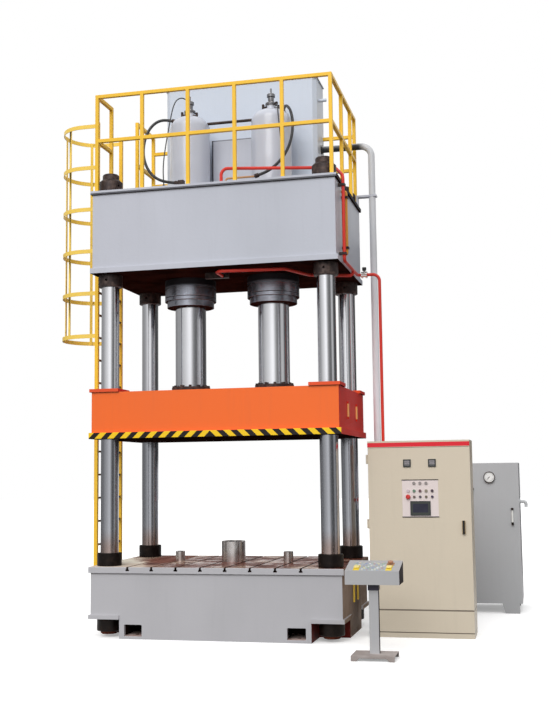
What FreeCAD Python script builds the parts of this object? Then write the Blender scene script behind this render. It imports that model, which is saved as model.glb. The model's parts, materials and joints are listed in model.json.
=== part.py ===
"""Four-column hydraulic press with its service platform, electrical cabinet, power unit and desk.

Millimetres. X runs to the right of someone who faces the press, Y to the back, Z up.
The origin is on the floor, at the middle of the bed.
"""
import FreeCAD, Part
import math
import os

os.makedirs("parts", exist_ok=True)

# ---- Driving dimensions: press frame ----
BEAM_LENGTH = 2640.0
BEAM_DEPTH = 1560.0
PLATE_LIP = 20.0
COLUMN_PITCH_X = 2360.0
COLUMN_PITCH_Y = 1225.0
COLUMN_DIAMETER = 190.0
THREAD_DIAMETER = 180.0
COLUMN_BOTTOM = 30.0
COLUMN_HEAD = 65.0
COLUMN_CHAMFER = 12.0
RUNNING_GAP = 0.05
HOLE_GAP = 1.0
SEAT_GAP = 0.3

BED_HEIGHT = 663.0
BED_WALL = 40.0
BED_RIB = 30.0
BED_FLOOR = 30.0
POCKET_HEIGHT = 195.0
POCKET_ROOF = 40.0
FOOT_HALF_LENGTH = 1005.0
FOOT_HALF_DEPTH = 355.0
INNER_RIB_X = 330.0
OUTER_RIB_X = 700.0
SLEEVE_WALL = 38.0
WINDOW_CENTRE_X = 855.0
WINDOW_WIDTH = 190.0
WINDOW_HEIGHT = 115.0
WINDOW_CORNER = 12.0
ANCHOR_HOLE_RADIUS = 20.0
ANCHOR_PITCH_Y = 1300.0
GUARD_BAR_WIDTH = 34.0
GUARD_BAR_RISE = 14.0
GUARD_BAR_HALF_PITCH = 120.0
BED_BAR_BOTTOM = 330.0
BED_BAR_TOP = 585.0

TABLE_THICKNESS = 62.0
TABLE_CHAMFER = 5.0
SLOT_PITCH = 260.0
SLOT_COUNT = 8
SLOT_NECK = 22.0
SLOT_FOOT = 38.0
SLOT_FOOT_HEIGHT = 17.0
SLOT_DEPTH = 40.0

NUT_DIAMETER = 255.0
NUT_HEIGHT = 132.0
NUT_CHAMFER = 5.0
LOCK_NUT_HEIGHT = 150.0
LOCK_NUT_CHAMFER = 26.0
TOMMY_RADIUS = 13.0
TOMMY_DEPTH = 32.0
TOMMY_ANGLE = 62.0

CROWN_BOTTOM = 3805.0
CROWN_HEIGHT = 895.0
CROWN_WALL = 40.0
CROWN_TOP_PLATE = 40.0
CROWN_BASE_PLATE = 55.0

# ---- Driving dimensions: main cylinders and rams ----
CYLINDER_PITCH = 950.0
BARREL_DIAMETER = 450.0
BARREL_BORE = 360.0
BARREL_SHOULDER = 855.0
DOME_RISE = 140.0
DOME_WALL = 60.0
DOME_STEPS = 7
NECK_DIAMETER = 100.0
NECK_HEIGHT = 55.0
COLLAR_DIAMETER = 570.0
COLLAR_HEIGHT = 192.0
CYLINDER_NUT_DIAMETER = 560.0
CYLINDER_NUT_HEIGHT = 85.0
GLAND_HEIGHT = 108.0
GLAND_UPPER_HEIGHT = 42.0
GLAND_LOWER_DIAMETER = 520.0
GLAND_GROOVE = 6.0
RAM_DIAMETER = 340.0
RAM_LENGTH = 2300.0
RAM_BORE = 220.0
RAM_FLOOR = 180.0
PISTON_HEIGHT = 120.0

VALVE_HEIGHT = 132.0
VALVE_FLANGE_DIAMETER = 128.0
VALVE_FLANGE_HEIGHT = 22.0
VALVE_BODY_DIAMETER = 66.0
VALVE_CAP_DIAMETER = 92.0
VALVE_CAP_HEIGHT = 36.0
VALVE_CAP_CHAMFER = 8.0
VALVE_PIN_DIAMETER = 20.0
VALVE_PIN_HEIGHT = 62.0
PORT_DROP = 24.0
PORT_STEP = 20.0
PORT_REACH = 86.0
PORT_DIAMETER = 24.0
PLUG_DIAMETER = 30.0
PLUG_HEIGHT = 70.0

# ---- Driving dimensions: slide ----
SLIDE_BOTTOM = 2045.0
SLIDE_HEIGHT = 490.0
SLIDE_PLATE = 65.0
SLIDE_LIP = 24.0
SLIDE_WALL = 35.0
SLIDE_TOP_WALL = 50.0
PAD_SIZE = 325.0
PAD_THICKNESS = 35.0
BUSH_WALL = 22.0
RAM_FLANGE_DIAMETER = 424.0
RAM_FLANGE_HEIGHT = 84.0
RAM_FLANGE_SPLIT = 3.0
SLIDE_BAR_HALF_PITCH = 270.0
SLIDE_BAR_BOTTOM = 2215.0
SLIDE_BAR_TOP = 2400.0

# ---- Driving dimensions: ejectors ----
EJECTOR_DIAMETER = 258.0
EJECTOR_RISE = 223.0
EJECTOR_FOOT = 308.0
EJECTOR_RECESS = 196.0
EJECTOR_RECESS_DEPTH = 14.0
EJECTOR_CYLINDER_WALL = 34.0
EJECTOR_CYLINDER_CLEARANCE = 60.0
EJECTOR_CYLINDER_FLOOR = 22.0
SIDE_EJECTOR_X = 605.0
SIDE_EJECTOR_DIAMETER = 105.0
SIDE_EJECTOR_RISE = 112.0
SIDE_EJECTOR_FOOT = 287.0
SIDE_CYLINDER_WALL = 20.0
SIDE_CYLINDER_CLEARANCE = 93.0
EJECTOR_CHAMFER = 6.0

# ---- Driving dimensions: tank, rails, ladder on the crown ----
TANK_LENGTH = 1805.0
TANK_SHIFT = 17.5
TANK_FRONT = 350.0
TANK_DEPTH = 415.0
TANK_HEIGHT = 1472.0
TANK_WALL = 8.0
TANK_LID = 8.0
TANK_LID_LIP = 14.0
TANK_CORNER = 45.0
NOZZLE_HEIGHT = 1236.0
NOZZLE_INSET = 150.0
NOZZLE_RADIUS = 19.0
NOZZLE_REACH = 90.0
MANIFOLD_LENGTH = 560.0
MANIFOLD_DEPTH = 140.0
MANIFOLD_HEIGHT = 775.0
CROSS_PIPE_DIAMETER = 32.0
CROSS_PIPE_HEIGHT = 905.0

RAIL_SIZE = 38.0
RAIL_WALL = 3.0
RAIL_HEIGHT = 1075.0
MID_RAIL_HEIGHT = 580.0
RAIL_EDGE = 35.0
RAIL_BAYS = 5
LEFT_RETURN = 395.0
LEFT_REAR_X = 1195.0
LEFT_REAR_Y = 220.0
LEFT_REAR_SHIFT = 20.0
RIGHT_POST_Y = (-130.0, 440.0)
REAR_BAR_HEIGHTS = (470.0, 870.0)

LADDER_X = 1425.0
LADDER_CENTRE_Y = -55.0
LADDER_WIDTH = 690.0
LADDER_BOTTOM = 300.0
LADDER_TOP = 5600.0
RUNG_PITCH = 250.0
RUNG_COUNT = 18
RUNG_SIZE = 20.0
LADDER_LUG_HEIGHTS = (560.0, 3950.0, 4560.0)
LUG_THICKNESS = 12.0
CAGE_REACH = 535.0
CAGE_HOOPS = 6
CAGE_TOP = 5538.0
CAGE_PITCH = 474.0
HOOP_WIDTH = 45.0
HOOP_THICKNESS = 6.0
STRAP_WIDTH = 32.0
STRAP_THICKNESS = 5.0
STRAP_ANGLES = (-62.0, 0.0, 62.0)

# ---- Driving dimensions: pipes ----
RETURN_PIPE_DIAMETER = 76.0
RETURN_PIPE_X = 1500.0
RETURN_PIPE_Y = 620.0
RETURN_PIPE_RISE = 690.0
RETURN_PIPE_ENTRY = 1250.0
RETURN_STRAP_RISE = 86.0
PRESSURE_PIPE_DIAMETER = 34.0
PRESSURE_PIPE_X = 1612.0
PRESSURE_PIPE_Y = 250.0
PRESSURE_PIPE_ENTRY = 1350.0
PIPE_BEND = 75.0
UNION_BEND = 40.0
RISER_X = 79.0
RISER_Y = -648.0
CROWN_PIPE_RISE = 180.0
CROWN_PIPE_TURN_X = 1249.0
CROWN_PIPE_TURN_Y = -350.0
SIDE_PIPE_Y = -585.0
SIDE_PIPE_RISE = 20.0
PIPE_STANDOFF = 14.0
UNION_RISE = 17.0
UNION_X = 1446.0
UNDER_PIPE_DROP = 43.0
UNDER_PIPE_POINTS = ((32.0, -737.0), (760.0, -652.0), (930.0, -250.0))
PORT_BAR_LENGTH = 260.0
PORT_BAR_DEPTH = 44.0
PORT_BAR_X = -30.0
PORT_BAR_Y = -450.0
TEE_Y = -63.0
DRAIN_PIPE_DIAMETER = 30.0
DRAIN_PIPE_Y = -400.0
CLAMP_THICKNESS = 22.0
CLAMP_MARGIN = 14.0
CLAMP_INSET = 28.0
FLANGE_THICKNESS = 16.0
UNION_DIAMETER = 74.0
UNION_LENGTH = 64.0
UNION_WAIST = 0.74
KNOB_DIAMETER = 46.0
KNOB_HEIGHT = 34.0
KNOB_STEM = 12.0
KNOB_NOTCHES = 6
KNOB_NOTCH_RADIUS = 5.0

FILL_HOSE_DIAMETER = 32.0
PILOT_HOSE_DIAMETER = 13.0
HOSE_NUT_WALL = 8.0
HOSE_NUT_LENGTH = 46.0
PORT_BLOCK = 62.0
THIN_PIPE_DIAMETER = 22.0
THIN_PIPE_END_X = 60.0
THIN_PIPE_BEND = 30.0
TANK_STUB = 180.0

# ---- Driving dimensions: electrical cabinet ----
CABINET_GAP = 175.0
CABINET_FRONT = -236.0
CABINET_WIDTH = 1040.0
CABINET_DEPTH = 450.0
CABINET_HEIGHT = 1980.0
CABINET_WALL = 4.0
CABINET_FRAME = 26.0
PLINTH_HEIGHT = 52.0
KICK_TOP = 278.0
HEADER_HEIGHT = 66.0
DOOR_THICKNESS = 18.0
DOOR_GAP = 2.0
DOOR_SHEET = 3.0
REVEAL = 4.0
HINGE_OFFSET = 10.0
HINGE_RADIUS = 9.0
HINGE_PIN_RADIUS = 5.0
HINGE_SHARES = (0.227, 0.556, 0.889)
HINGE_LENGTH = 70.0
HINGE_EAR = 12.0
PANEL_CENTRE_X = 533.0
PANEL_DROP = 775.0
PANEL_WIDTH = 366.0
PANEL_HEIGHT = 374.0
PANEL_THICKNESS = 3.0
SCREEN_WIDTH = 205.0
SCREEN_HEIGHT = 146.0
SCREEN_DEPTH = 9.0
CONTROL_PITCH = 61.0
CONTROL_ROWS = (204.0, 264.0, 342.0)
LAMP_RADIUS = 15.0
LAMP_RISE = 13.0
BUTTON_RADIUS = 13.0
BUTTON_RISE = 14.0
BUTTON_CHAMFER = 2.0
BUTTON_STEM_RADIUS = 8.0
BUTTON_RIM = 5.0
STOP_RADIUS = 24.0
STOP_RISE = 30.0
STOP_NECK = 0.8
STOP_CROWN = 0.7
STOP_STEP = 4.0
METER_SIZE = 78.0
METER_DEPTH = 12.0
METER_DROP = 230.0
METER_SPREAD = 254.0
HANDLE_X = 962.0
HANDLE_DROP = 812.0
HANDLE_LENGTH = 132.0
HANDLE_WIDTH = 30.0
HANDLE_RISE = 26.0
HANDLE_PIVOT_RADIUS = 9.0
GEAR_INSET = 70.0
GEAR_STANDOFF = 40.0
GEAR_PLATE = 5.0
GEAR_POST_RADIUS = 10.0
GEAR_FILL = 0.82
GEAR_ROWS = ((0.88, 0.94, 70.0, 8), (0.71, 0.81, 95.0, 5), (0.38, 0.47, 90.0, 6))
DRIVE_WIDTHS = (0.13, 0.51)
DRIVE_HEIGHTS = (0.04, 0.3)
DRIVE_DEPTH = 180.0

# ---- Driving dimensions: power unit ----
UNIT_LEFT = 1330.0
UNIT_WIDTH = 1670.0
UNIT_FRONT = 1774.0
UNIT_DEPTH = 900.0
UNIT_BOTTOM = 114.0
UNIT_TOP = 1757.0
UNIT_WALL = 6.0
UNIT_BACK_LIP = 60.0
LEG_TOP_WIDTH = 200.0
LEG_BOTTOM_WIDTH = 168.0
LEG_INSET = 36.0
LEG_DEPTH = 130.0
GAUGE_X = 1330.0
GAUGE_Z = 1590.0
GAUGE_RADIUS = 66.0
GAUGE_DEPTH = 34.0
GAUGE_RIM = 7.0
GAUGE_DIAL_DEPTH = 8.0
SPINDLE_RADIUS = 2.5
NEEDLE_SHEET = 3.0
NEEDLE_REST = math.radians(45)
NEEDLE_LENGTH = 44.0
LATCH_X = 1130.0
LATCH_Z = 1452.0
LATCH_RADIUS = 17.0
LATCH_RISE = 22.0
LATCH_WIDTH = 14.0
LATCH_LENGTH = 58.0
LEVEL_X = 1584.0
LEVEL_BOTTOM = 1030.0
LEVEL_HEIGHT = 196.0
LEVEL_RADIUS = 11.0
LEVEL_BLOCK = 28.0
LEVEL_GAP = 5.0
SPOUT_Z = 1300.0
SPOUT_RADIUS = 19.0
SPOUT_REACH = 74.0
SPOUT_DROP = 66.0
SPOUT_BEND = 30.0
SPOUT_COLLAR = 12.0
MOTOR_RADIUS = 165.0
MOTOR_LENGTH = 520.0
MOTOR_HEIGHT = 260.0
PUMP_RADIUS = 105.0
PUMP_LENGTH = 260.0
MOTOR_FEET = 40.0

# ---- Driving dimensions: operator desk ----
DESK_X = 1742.0
DESK_Y = -1530.0
DESK_FOOT_LENGTH = 392.0
DESK_FOOT_DEPTH = 300.0
DESK_FOOT_SHIFT = -10.0
DESK_FOOT_HEIGHT = 50.0
DESK_FOOT_ARCH = 26.0
DESK_FOOT_WALL = 6.0
DESK_POST_WIDTH = 88.0
DESK_POST_DEPTH = 60.0
DESK_COLLAR_MARGIN = 7.0
DESK_COLLAR_HEIGHT = 56.0
DESK_BASE = 662.0
DESK_LENGTH = 490.0
DESK_DEPTH = 300.0
DESK_BOX_SHIFT = 40.0
DESK_FRONT_HEIGHT = 122.0
DESK_BACK_HEIGHT = 192.0
DESK_WALL = 3.0
PALM_SPREAD = 294.0
PALM_SIZE = 46.0
PALM_RISE = 20.0
DESK_LAMP_RADIUS = 10.0
DESK_LAMP_RISE = 8.0
DESK_LAMP_COUNT = 5
DESK_LAMP_PITCH = 40.0
DESK_ROW_LOW = 82.0
DESK_ROW_HIGH = 196.0

# ---- Worked out from the driving dimensions ----
HALF_LENGTH = BEAM_LENGTH / 2
HALF_DEPTH = BEAM_DEPTH / 2
LIP_LENGTH = HALF_LENGTH + PLATE_LIP
LIP_DEPTH = HALF_DEPTH + PLATE_LIP
TABLE_TOP = BED_HEIGHT + TABLE_THICKNESS
CROWN_TOP = CROWN_BOTTOM + CROWN_HEIGHT
SLIDE_TOP = SLIDE_BOTTOM + SLIDE_HEIGHT
PAD_TOP = SLIDE_TOP + PAD_THICKNESS
COLUMN_TOP = CROWN_TOP + LOCK_NUT_HEIGHT + COLUMN_HEAD
COLUMN_RADIUS = COLUMN_DIAMETER / 2
THREAD_RADIUS = THREAD_DIAMETER / 2
NUT_BORE = THREAD_RADIUS + RUNNING_GAP
BARREL_RADIUS = BARREL_DIAMETER / 2
BARREL_TOP = CROWN_TOP + BARREL_SHOULDER
DOME_TOP = BARREL_TOP + DOME_RISE
NECK_TOP = DOME_TOP + NECK_HEIGHT
COLLAR_BOTTOM = CROWN_BOTTOM - COLLAR_HEIGHT
GLAND_BOTTOM = COLLAR_BOTTOM - GLAND_HEIGHT
UNION_LEVEL = CROWN_BOTTOM + UNION_RISE
RAM_RADIUS = RAM_DIAMETER / 2
RAIL_X = HALF_LENGTH - RAIL_EDGE
RAIL_Y = HALF_DEPTH - RAIL_EDGE
TANK_BACK = TANK_FRONT + TANK_DEPTH
TANK_LEFT = TANK_SHIFT - TANK_LENGTH / 2
TANK_RIGHT = TANK_SHIFT + TANK_LENGTH / 2
CABINET_LEFT = LIP_LENGTH + CABINET_GAP
CABINET_RIGHT = CABINET_LEFT + CABINET_WIDTH
DOOR_FRONT = CABINET_FRONT - DOOR_GAP - DOOR_THICKNESS
DOOR_BACK = CABINET_FRONT - DOOR_GAP
DOOR_BOTTOM = KICK_TOP + REVEAL
DOOR_TOP = CABINET_HEIGHT - HEADER_HEIGHT - REVEAL
HINGE_HEIGHTS = [CABINET_HEIGHT * share for share in HINGE_SHARES]
PANEL_BOTTOM = CABINET_HEIGHT - PANEL_DROP
METER_HEIGHT = CABINET_HEIGHT - METER_DROP
HANDLE_TOP = CABINET_HEIGHT - HANDLE_DROP
HINGE_X = CABINET_LEFT - HINGE_OFFSET
HINGE_Y = (DOOR_FRONT + DOOR_BACK) / 2
PANEL_X = CABINET_LEFT + PANEL_CENTRE_X
PANEL_FRONT = DOOR_FRONT - PANEL_THICKNESS
UNIT_RIGHT = UNIT_LEFT + UNIT_WIDTH
UNIT_BACK = UNIT_FRONT + UNIT_DEPTH
DESK_FRONT = DESK_Y + DESK_BOX_SHIFT - DESK_DEPTH / 2
DESK_BACK = DESK_FRONT + DESK_DEPTH
DESK_SLOPE = math.atan2(DESK_BACK_HEIGHT - DESK_FRONT_HEIGHT, DESK_DEPTH)

COLUMNS = [(sx * COLUMN_PITCH_X / 2, sy * COLUMN_PITCH_Y / 2) for sx in (-1, 1) for sy in (-1, 1)]
CYLINDERS = [(-CYLINDER_PITCH / 2, 0.0), (CYLINDER_PITCH / 2, 0.0)]
SLOTS = [(i - (SLOT_COUNT - 1) / 2) * SLOT_PITCH for i in range(SLOT_COUNT)]

V = FreeCAD.Vector
RIGHT = V(1, 0, 0)
BACK = V(0, 1, 0)
UP = V(0, 0, 1)


# ---- Form operations ----
def box(x0, x1, y0, y1, z0, z1):
    """A block between two corners."""
    return Part.makeBox(x1 - x0, y1 - y0, z1 - z0, V(x0, y0, z0))


def rod(radius, start, end):
    """A round bar between two points."""
    return Part.makeCylinder(radius, (end - start).Length, start, end - start)


def ring(outer, inner, start, end):
    """A round tube between two points."""
    return rod(outer, start, end).cut(rod(inner, start, end))


def outline(points):
    """A flat face inside a closed run of points."""
    return Part.Face(Part.makePolygon([*points, points[0]]))


def turned(profile, x, y):
    """A turned piece about a vertical axis, from its half section as (radius, height)."""
    face = outline([V(x + r, y, z) for r, z in profile])
    return face.revolve(V(x, y, 0), UP, 360)


def across(profile, y0, y1):
    """A section in (x, z) drawn out along Y."""
    return outline([V(x, y0, z) for x, z in profile]).extrude(V(0, y1 - y0, 0))


def along(profile, x0, x1):
    """A section in (y, z) drawn out along X."""
    return outline([V(x0, y, z) for y, z in profile]).extrude(V(x1 - x0, 0, 0))


def upright(profile, z0, z1):
    """A section in (x, y) drawn out along Z."""
    return outline([V(x, y, z0) for x, y in profile]).extrude(V(0, 0, z1 - z0))


def joined(pieces):
    """One solid out of pieces that overlap or touch."""
    first, *rest = pieces
    return first.fuse(rest).removeSplitter() if rest else first


def group(pieces):
    """Separate solids that share one node."""
    return Part.makeCompound(pieces)


def rounded(points, radius):
    """A path of straight runs joined by arcs of one radius, or of the radii in a list."""
    radii = radius if isinstance(radius, list) else [radius] * (len(points) - 2)
    edges = []
    last = points[0]
    for before, corner, after, bend in zip(points, points[1:], points[2:], radii):
        into = (corner - before).normalize()
        out = (after - corner).normalize()
        turn = into.getAngle(out)
        reach = bend * math.tan(turn / 2)
        start = corner - into * reach
        end = corner + out * reach
        middle = corner + (out - into).normalize() * (bend / math.cos(turn / 2) - bend)
        edges.append(Part.LineSegment(last, start).toShape())
        edges.append(Part.Arc(start, middle, end).toShape())
        last = end
    edges.append(Part.LineSegment(last, points[-1]).toShape())
    return Part.Wire(edges)


def swept(path, radius):
    """A round bar along a path."""
    start = path.Edges[0]
    heading = start.tangentAt(start.FirstParameter)
    section = Part.Wire(Part.makeCircle(radius, start.valueAt(start.FirstParameter), heading))
    return Part.Wire(path).makePipeShell([section], True, False)


def pipe(points, diameter, bend):
    """A bent rigid pipe, drawn solid, as it is full of oil."""
    return swept(rounded(points, bend), diameter / 2)


def hose(name, points, diameter):
    """A flexible hose whose bends are as wide as its runs allow."""
    radii = []
    for before, corner, after in zip(points, points[1:], points[2:]):
        into = corner - before
        out = after - corner
        radii.append(0.45 * min(into.Length, out.Length) / math.tan(into.getAngle(out) / 2))
    path = rounded(points, radii)
    solid = swept(path, diameter / 2)
    share = solid.Volume / (math.pi * diameter ** 2 / 4 * path.Length)
    print(f"{name}: length {path.Length:.0f}, least radius {min(radii):.0f}, volume share {share:.4f}")
    return solid


def square_tube(start, end, size):
    """A straight square rail between two points, along one axis."""
    half = size / 2
    low = V(min(start.x, end.x), min(start.y, end.y), min(start.z, end.z))
    high = V(max(start.x, end.x), max(start.y, end.y), max(start.z, end.z))
    run = end - start
    grow = V(half if not run.x else 0, half if not run.y else 0, half if not run.z else 0)
    low = low - grow
    high = high + grow
    return box(low.x, high.x, low.y, high.y, low.z, high.z)


def save(name, shape):
    shape.exportStep(f"parts/{name}.step")


# ---- Bed: a welded box on a cross-shaped foot, with a pocket under each corner ----
def make_bed():
    roof = POCKET_HEIGHT + POCKET_ROOF
    shell = joined([
        box(-HALF_LENGTH, HALF_LENGTH, -HALF_DEPTH, HALF_DEPTH, POCKET_HEIGHT, BED_HEIGHT),
        box(-FOOT_HALF_LENGTH, FOOT_HALF_LENGTH, -HALF_DEPTH, HALF_DEPTH, 0, POCKET_HEIGHT),
        box(-HALF_LENGTH, HALF_LENGTH, -FOOT_HALF_DEPTH, FOOT_HALF_DEPTH, 0, POCKET_HEIGHT),
    ])
    inside_x = HALF_LENGTH - BED_WALL
    inside_y = HALF_DEPTH - BED_WALL
    foot_x = FOOT_HALF_LENGTH - BED_WALL
    foot_y = FOOT_HALF_DEPTH - BED_WALL
    rib = BED_RIB / 2
    spans_x = [(-INNER_RIB_X + rib, INNER_RIB_X - rib)]
    for side in (-1, 1):
        spans_x.append(tuple(sorted((side * (INNER_RIB_X + rib), side * (OUTER_RIB_X - rib)))))
    cells = []
    for x0, x1 in spans_x:
        cells.append(box(x0, x1, -foot_y, foot_y, BED_FLOOR, BED_HEIGHT))
        for side in (-1, 1):
            y0, y1 = sorted((side * (foot_y + BED_RIB), side * inside_y))
            cells.append(box(x0, x1, y0, y1, BED_FLOOR, BED_HEIGHT))
    for side in (-1, 1):
        x0, x1 = sorted((side * (OUTER_RIB_X + rib), side * inside_x))
        f0, f1 = sorted((side * (OUTER_RIB_X + rib), side * foot_x))
        cells.append(box(x0, x1, -foot_y, foot_y, BED_FLOOR, BED_HEIGHT))
        for back in (-1, 1):
            y0, y1 = sorted((back * (foot_y + BED_RIB), back * inside_y))
            cells.append(box(x0, x1, y0, y1, roof, BED_HEIGHT))
            cells.append(box(f0, f1, y0, y1, BED_FLOOR, BED_HEIGHT))
    bed = shell.cut(cells)

    additions = []
    for x, y in COLUMNS:
        sleeve = THREAD_RADIUS + HOLE_GAP + SLEEVE_WALL
        additions.append(rod(sleeve, V(x, y, POCKET_HEIGHT), V(x, y, BED_HEIGHT)))
        x0, x1 = sorted((math.copysign(FOOT_HALF_LENGTH, x), math.copysign(LIP_LENGTH, x)))
        y0, y1 = sorted((math.copysign(FOOT_HALF_DEPTH, y), math.copysign(LIP_DEPTH, y)))
        additions.append(box(x0, x1, y0, y1, POCKET_HEIGHT, roof))
    for y in (-GUARD_BAR_HALF_PITCH, GUARD_BAR_HALF_PITCH):
        half = GUARD_BAR_WIDTH / 2
        additions.append(box(HALF_LENGTH, HALF_LENGTH + GUARD_BAR_RISE, y - half, y + half, BED_BAR_BOTTOM,
                             BED_BAR_TOP))
    bed = joined([bed, *additions])

    holes = [rod(THREAD_RADIUS + HOLE_GAP, V(x, y, 0), V(x, y, BED_HEIGHT)) for x, y in COLUMNS]
    for side in (-1, 1):
        x = side * WINDOW_CENTRE_X
        window = box(x - WINDOW_WIDTH / 2, x + WINDOW_WIDTH / 2, -HALF_DEPTH - 1, -inside_y + 1, BED_FLOOR,
                     BED_FLOOR + WINDOW_HEIGHT)
        upper = [e for e in window.Edges if abs(e.CenterOfMass.y + (HALF_DEPTH + inside_y) / 2) < 1
                 and e.CenterOfMass.z > BED_FLOOR + WINDOW_HEIGHT / 2]
        window = window.makeFillet(WINDOW_CORNER, upper)
        holes.append(window)
        holes.append(window.mirror(V(0, 0, 0), BACK))
        for back in (-1, 1):
            y = back * ANCHOR_PITCH_Y / 2
            holes.append(rod(ANCHOR_HOLE_RADIUS, V(x, y, -1), V(x, y, BED_FLOOR + 1)))
    return bed.cut(holes)


# ---- Table plate with tee slots from front to back ----
def make_table():
    plate = box(-LIP_LENGTH, LIP_LENGTH, -LIP_DEPTH, LIP_DEPTH, BED_HEIGHT, TABLE_TOP)
    rim = [e for e in plate.Edges if abs(e.CenterOfMass.z - TABLE_TOP) < 1]
    plate = plate.makeChamfer(TABLE_CHAMFER, rim)
    neck = SLOT_NECK / 2
    foot = SLOT_FOOT / 2
    floor = TABLE_TOP - SLOT_DEPTH
    ledge = floor + SLOT_FOOT_HEIGHT
    above = TABLE_TOP + 1
    tools = []
    for x in SLOTS:
        tee = [(x - foot, floor), (x + foot, floor), (x + foot, ledge), (x + neck, ledge),
               (x + neck, above), (x - neck, above), (x - neck, ledge), (x - foot, ledge)]
        tools.append(across(tee, -LIP_DEPTH - 1, LIP_DEPTH + 1))
    for x, y in COLUMNS:
        tools.append(rod(THREAD_RADIUS + HOLE_GAP, V(x, y, 0), V(x, y, above)))
    tools.append(rod(EJECTOR_DIAMETER / 2 + RUNNING_GAP, V(0, 0, 0), V(0, 0, above)))
    for x in (-SIDE_EJECTOR_X, SIDE_EJECTOR_X):
        tools.append(rod(SIDE_EJECTOR_DIAMETER / 2 + RUNNING_GAP, V(x, 0, 0), V(x, 0, above)))
    return plate.cut(tools)


# ---- Columns and their nuts ----
def make_column(x, y):
    lower = TABLE_TOP + NUT_HEIGHT
    upper = CROWN_BOTTOM - NUT_HEIGHT
    lead = COLUMN_CHAMFER
    return turned([
        (0, COLUMN_BOTTOM), (THREAD_RADIUS - lead, COLUMN_BOTTOM), (THREAD_RADIUS, COLUMN_BOTTOM + lead),
        (THREAD_RADIUS, lower), (COLUMN_RADIUS, lower), (COLUMN_RADIUS, upper), (THREAD_RADIUS, upper),
        (THREAD_RADIUS, COLUMN_TOP - lead), (THREAD_RADIUS - lead, COLUMN_TOP), (0, COLUMN_TOP),
    ], x, y)


def make_nut(x, y, bottom, height, top_chamfer, holes):
    outer = NUT_DIAMETER / 2
    top = bottom + height
    nut = turned([
        (NUT_BORE, bottom), (outer - NUT_CHAMFER, bottom), (outer, bottom + NUT_CHAMFER),
        (outer, top - top_chamfer), (outer - top_chamfer, top), (NUT_BORE, top),
    ], x, y)
    tools = []
    for angle in holes:
        heading = V(math.sin(math.radians(angle)), -math.cos(math.radians(angle)), 0)
        middle = V(x, y, bottom + height / 2)
        tools.append(rod(TOMMY_RADIUS, middle + heading * (outer - TOMMY_DEPTH), middle + heading * (outer + 1)))
    return nut.cut(tools) if tools else nut


# ---- Crown: a closed welded box that holds the cylinders and the upper column nuts ----
def make_crown():
    ceiling = CROWN_TOP - CROWN_TOP_PLATE
    floor = CROWN_BOTTOM + CROWN_BASE_PLATE
    shell = joined([
        box(-HALF_LENGTH, HALF_LENGTH, -HALF_DEPTH, HALF_DEPTH, CROWN_BOTTOM, CROWN_TOP),
        box(-LIP_LENGTH, LIP_LENGTH, -LIP_DEPTH, LIP_DEPTH, ceiling, CROWN_TOP),
        box(-LIP_LENGTH, LIP_LENGTH, -LIP_DEPTH, LIP_DEPTH, CROWN_BOTTOM, floor),
    ])
    hollow = box(-HALF_LENGTH + CROWN_WALL, HALF_LENGTH - CROWN_WALL, -HALF_DEPTH + CROWN_WALL,
                 HALF_DEPTH - CROWN_WALL, floor, ceiling)
    sleeves = [rod(THREAD_RADIUS + HOLE_GAP + SLEEVE_WALL, V(x, y, floor), V(x, y, ceiling)) for x, y in COLUMNS]
    seat = BARREL_RADIUS + HOLE_GAP + SLEEVE_WALL
    sleeves += [rod(seat, V(x, y, floor), V(x, y, ceiling)) for x, y in CYLINDERS]
    crown = shell.cut(hollow.cut(sleeves))
    bores = [rod(THREAD_RADIUS + HOLE_GAP, V(x, y, CROWN_BOTTOM), V(x, y, CROWN_TOP)) for x, y in COLUMNS]
    bores += [rod(BARREL_RADIUS + HOLE_GAP, V(x, y, CROWN_BOTTOM), V(x, y, CROWN_TOP)) for x, y in CYLINDERS]
    return crown.cut(bores)


# ---- Main cylinders, glands, rams and prefill valves ----
def barrel_outside():
    """The barrel's outer line above the crown's underside, with its rounded shoulder and neck."""
    neck = NECK_DIAMETER / 2
    line = [(BARREL_RADIUS, CROWN_BOTTOM)]
    for i in range(DOME_STEPS + 1):
        angle = math.radians(90) * i / DOME_STEPS
        line.append((neck + (BARREL_RADIUS - neck) * math.cos(angle), BARREL_TOP + DOME_RISE * math.sin(angle)))
    return [*line, (neck, NECK_TOP), (0, NECK_TOP)]


def solid_barrel(x, y):
    return turned([(0, CROWN_BOTTOM), *barrel_outside()], x, y)


def make_cylinder(x, y):
    bore = BARREL_BORE / 2
    collar = COLLAR_DIAMETER / 2
    neck = NECK_DIAMETER / 2
    guide = RAM_RADIUS + RUNNING_GAP
    roof = DOME_TOP - DOME_WALL
    return turned([
        (guide, COLLAR_BOTTOM), (collar, COLLAR_BOTTOM), (collar, CROWN_BOTTOM), *barrel_outside(),
        (0, roof), (neck, roof), (bore, BARREL_TOP - DOME_WALL), (bore, CROWN_BOTTOM), (guide, CROWN_BOTTOM),
    ], x, y)


def make_gland(x, y):
    guide = RAM_RADIUS + RUNNING_GAP
    outer = COLLAR_DIAMETER / 2
    lower = GLAND_LOWER_DIAMETER / 2
    ledge = COLLAR_BOTTOM - GLAND_UPPER_HEIGHT
    return turned([
        (guide, GLAND_BOTTOM), (lower, GLAND_BOTTOM), (lower, ledge), (outer, ledge),
        (outer, COLLAR_BOTTOM - GLAND_GROOVE), (outer - GLAND_GROOVE, COLLAR_BOTTOM), (guide, COLLAR_BOTTOM),
    ], x, y)


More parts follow.
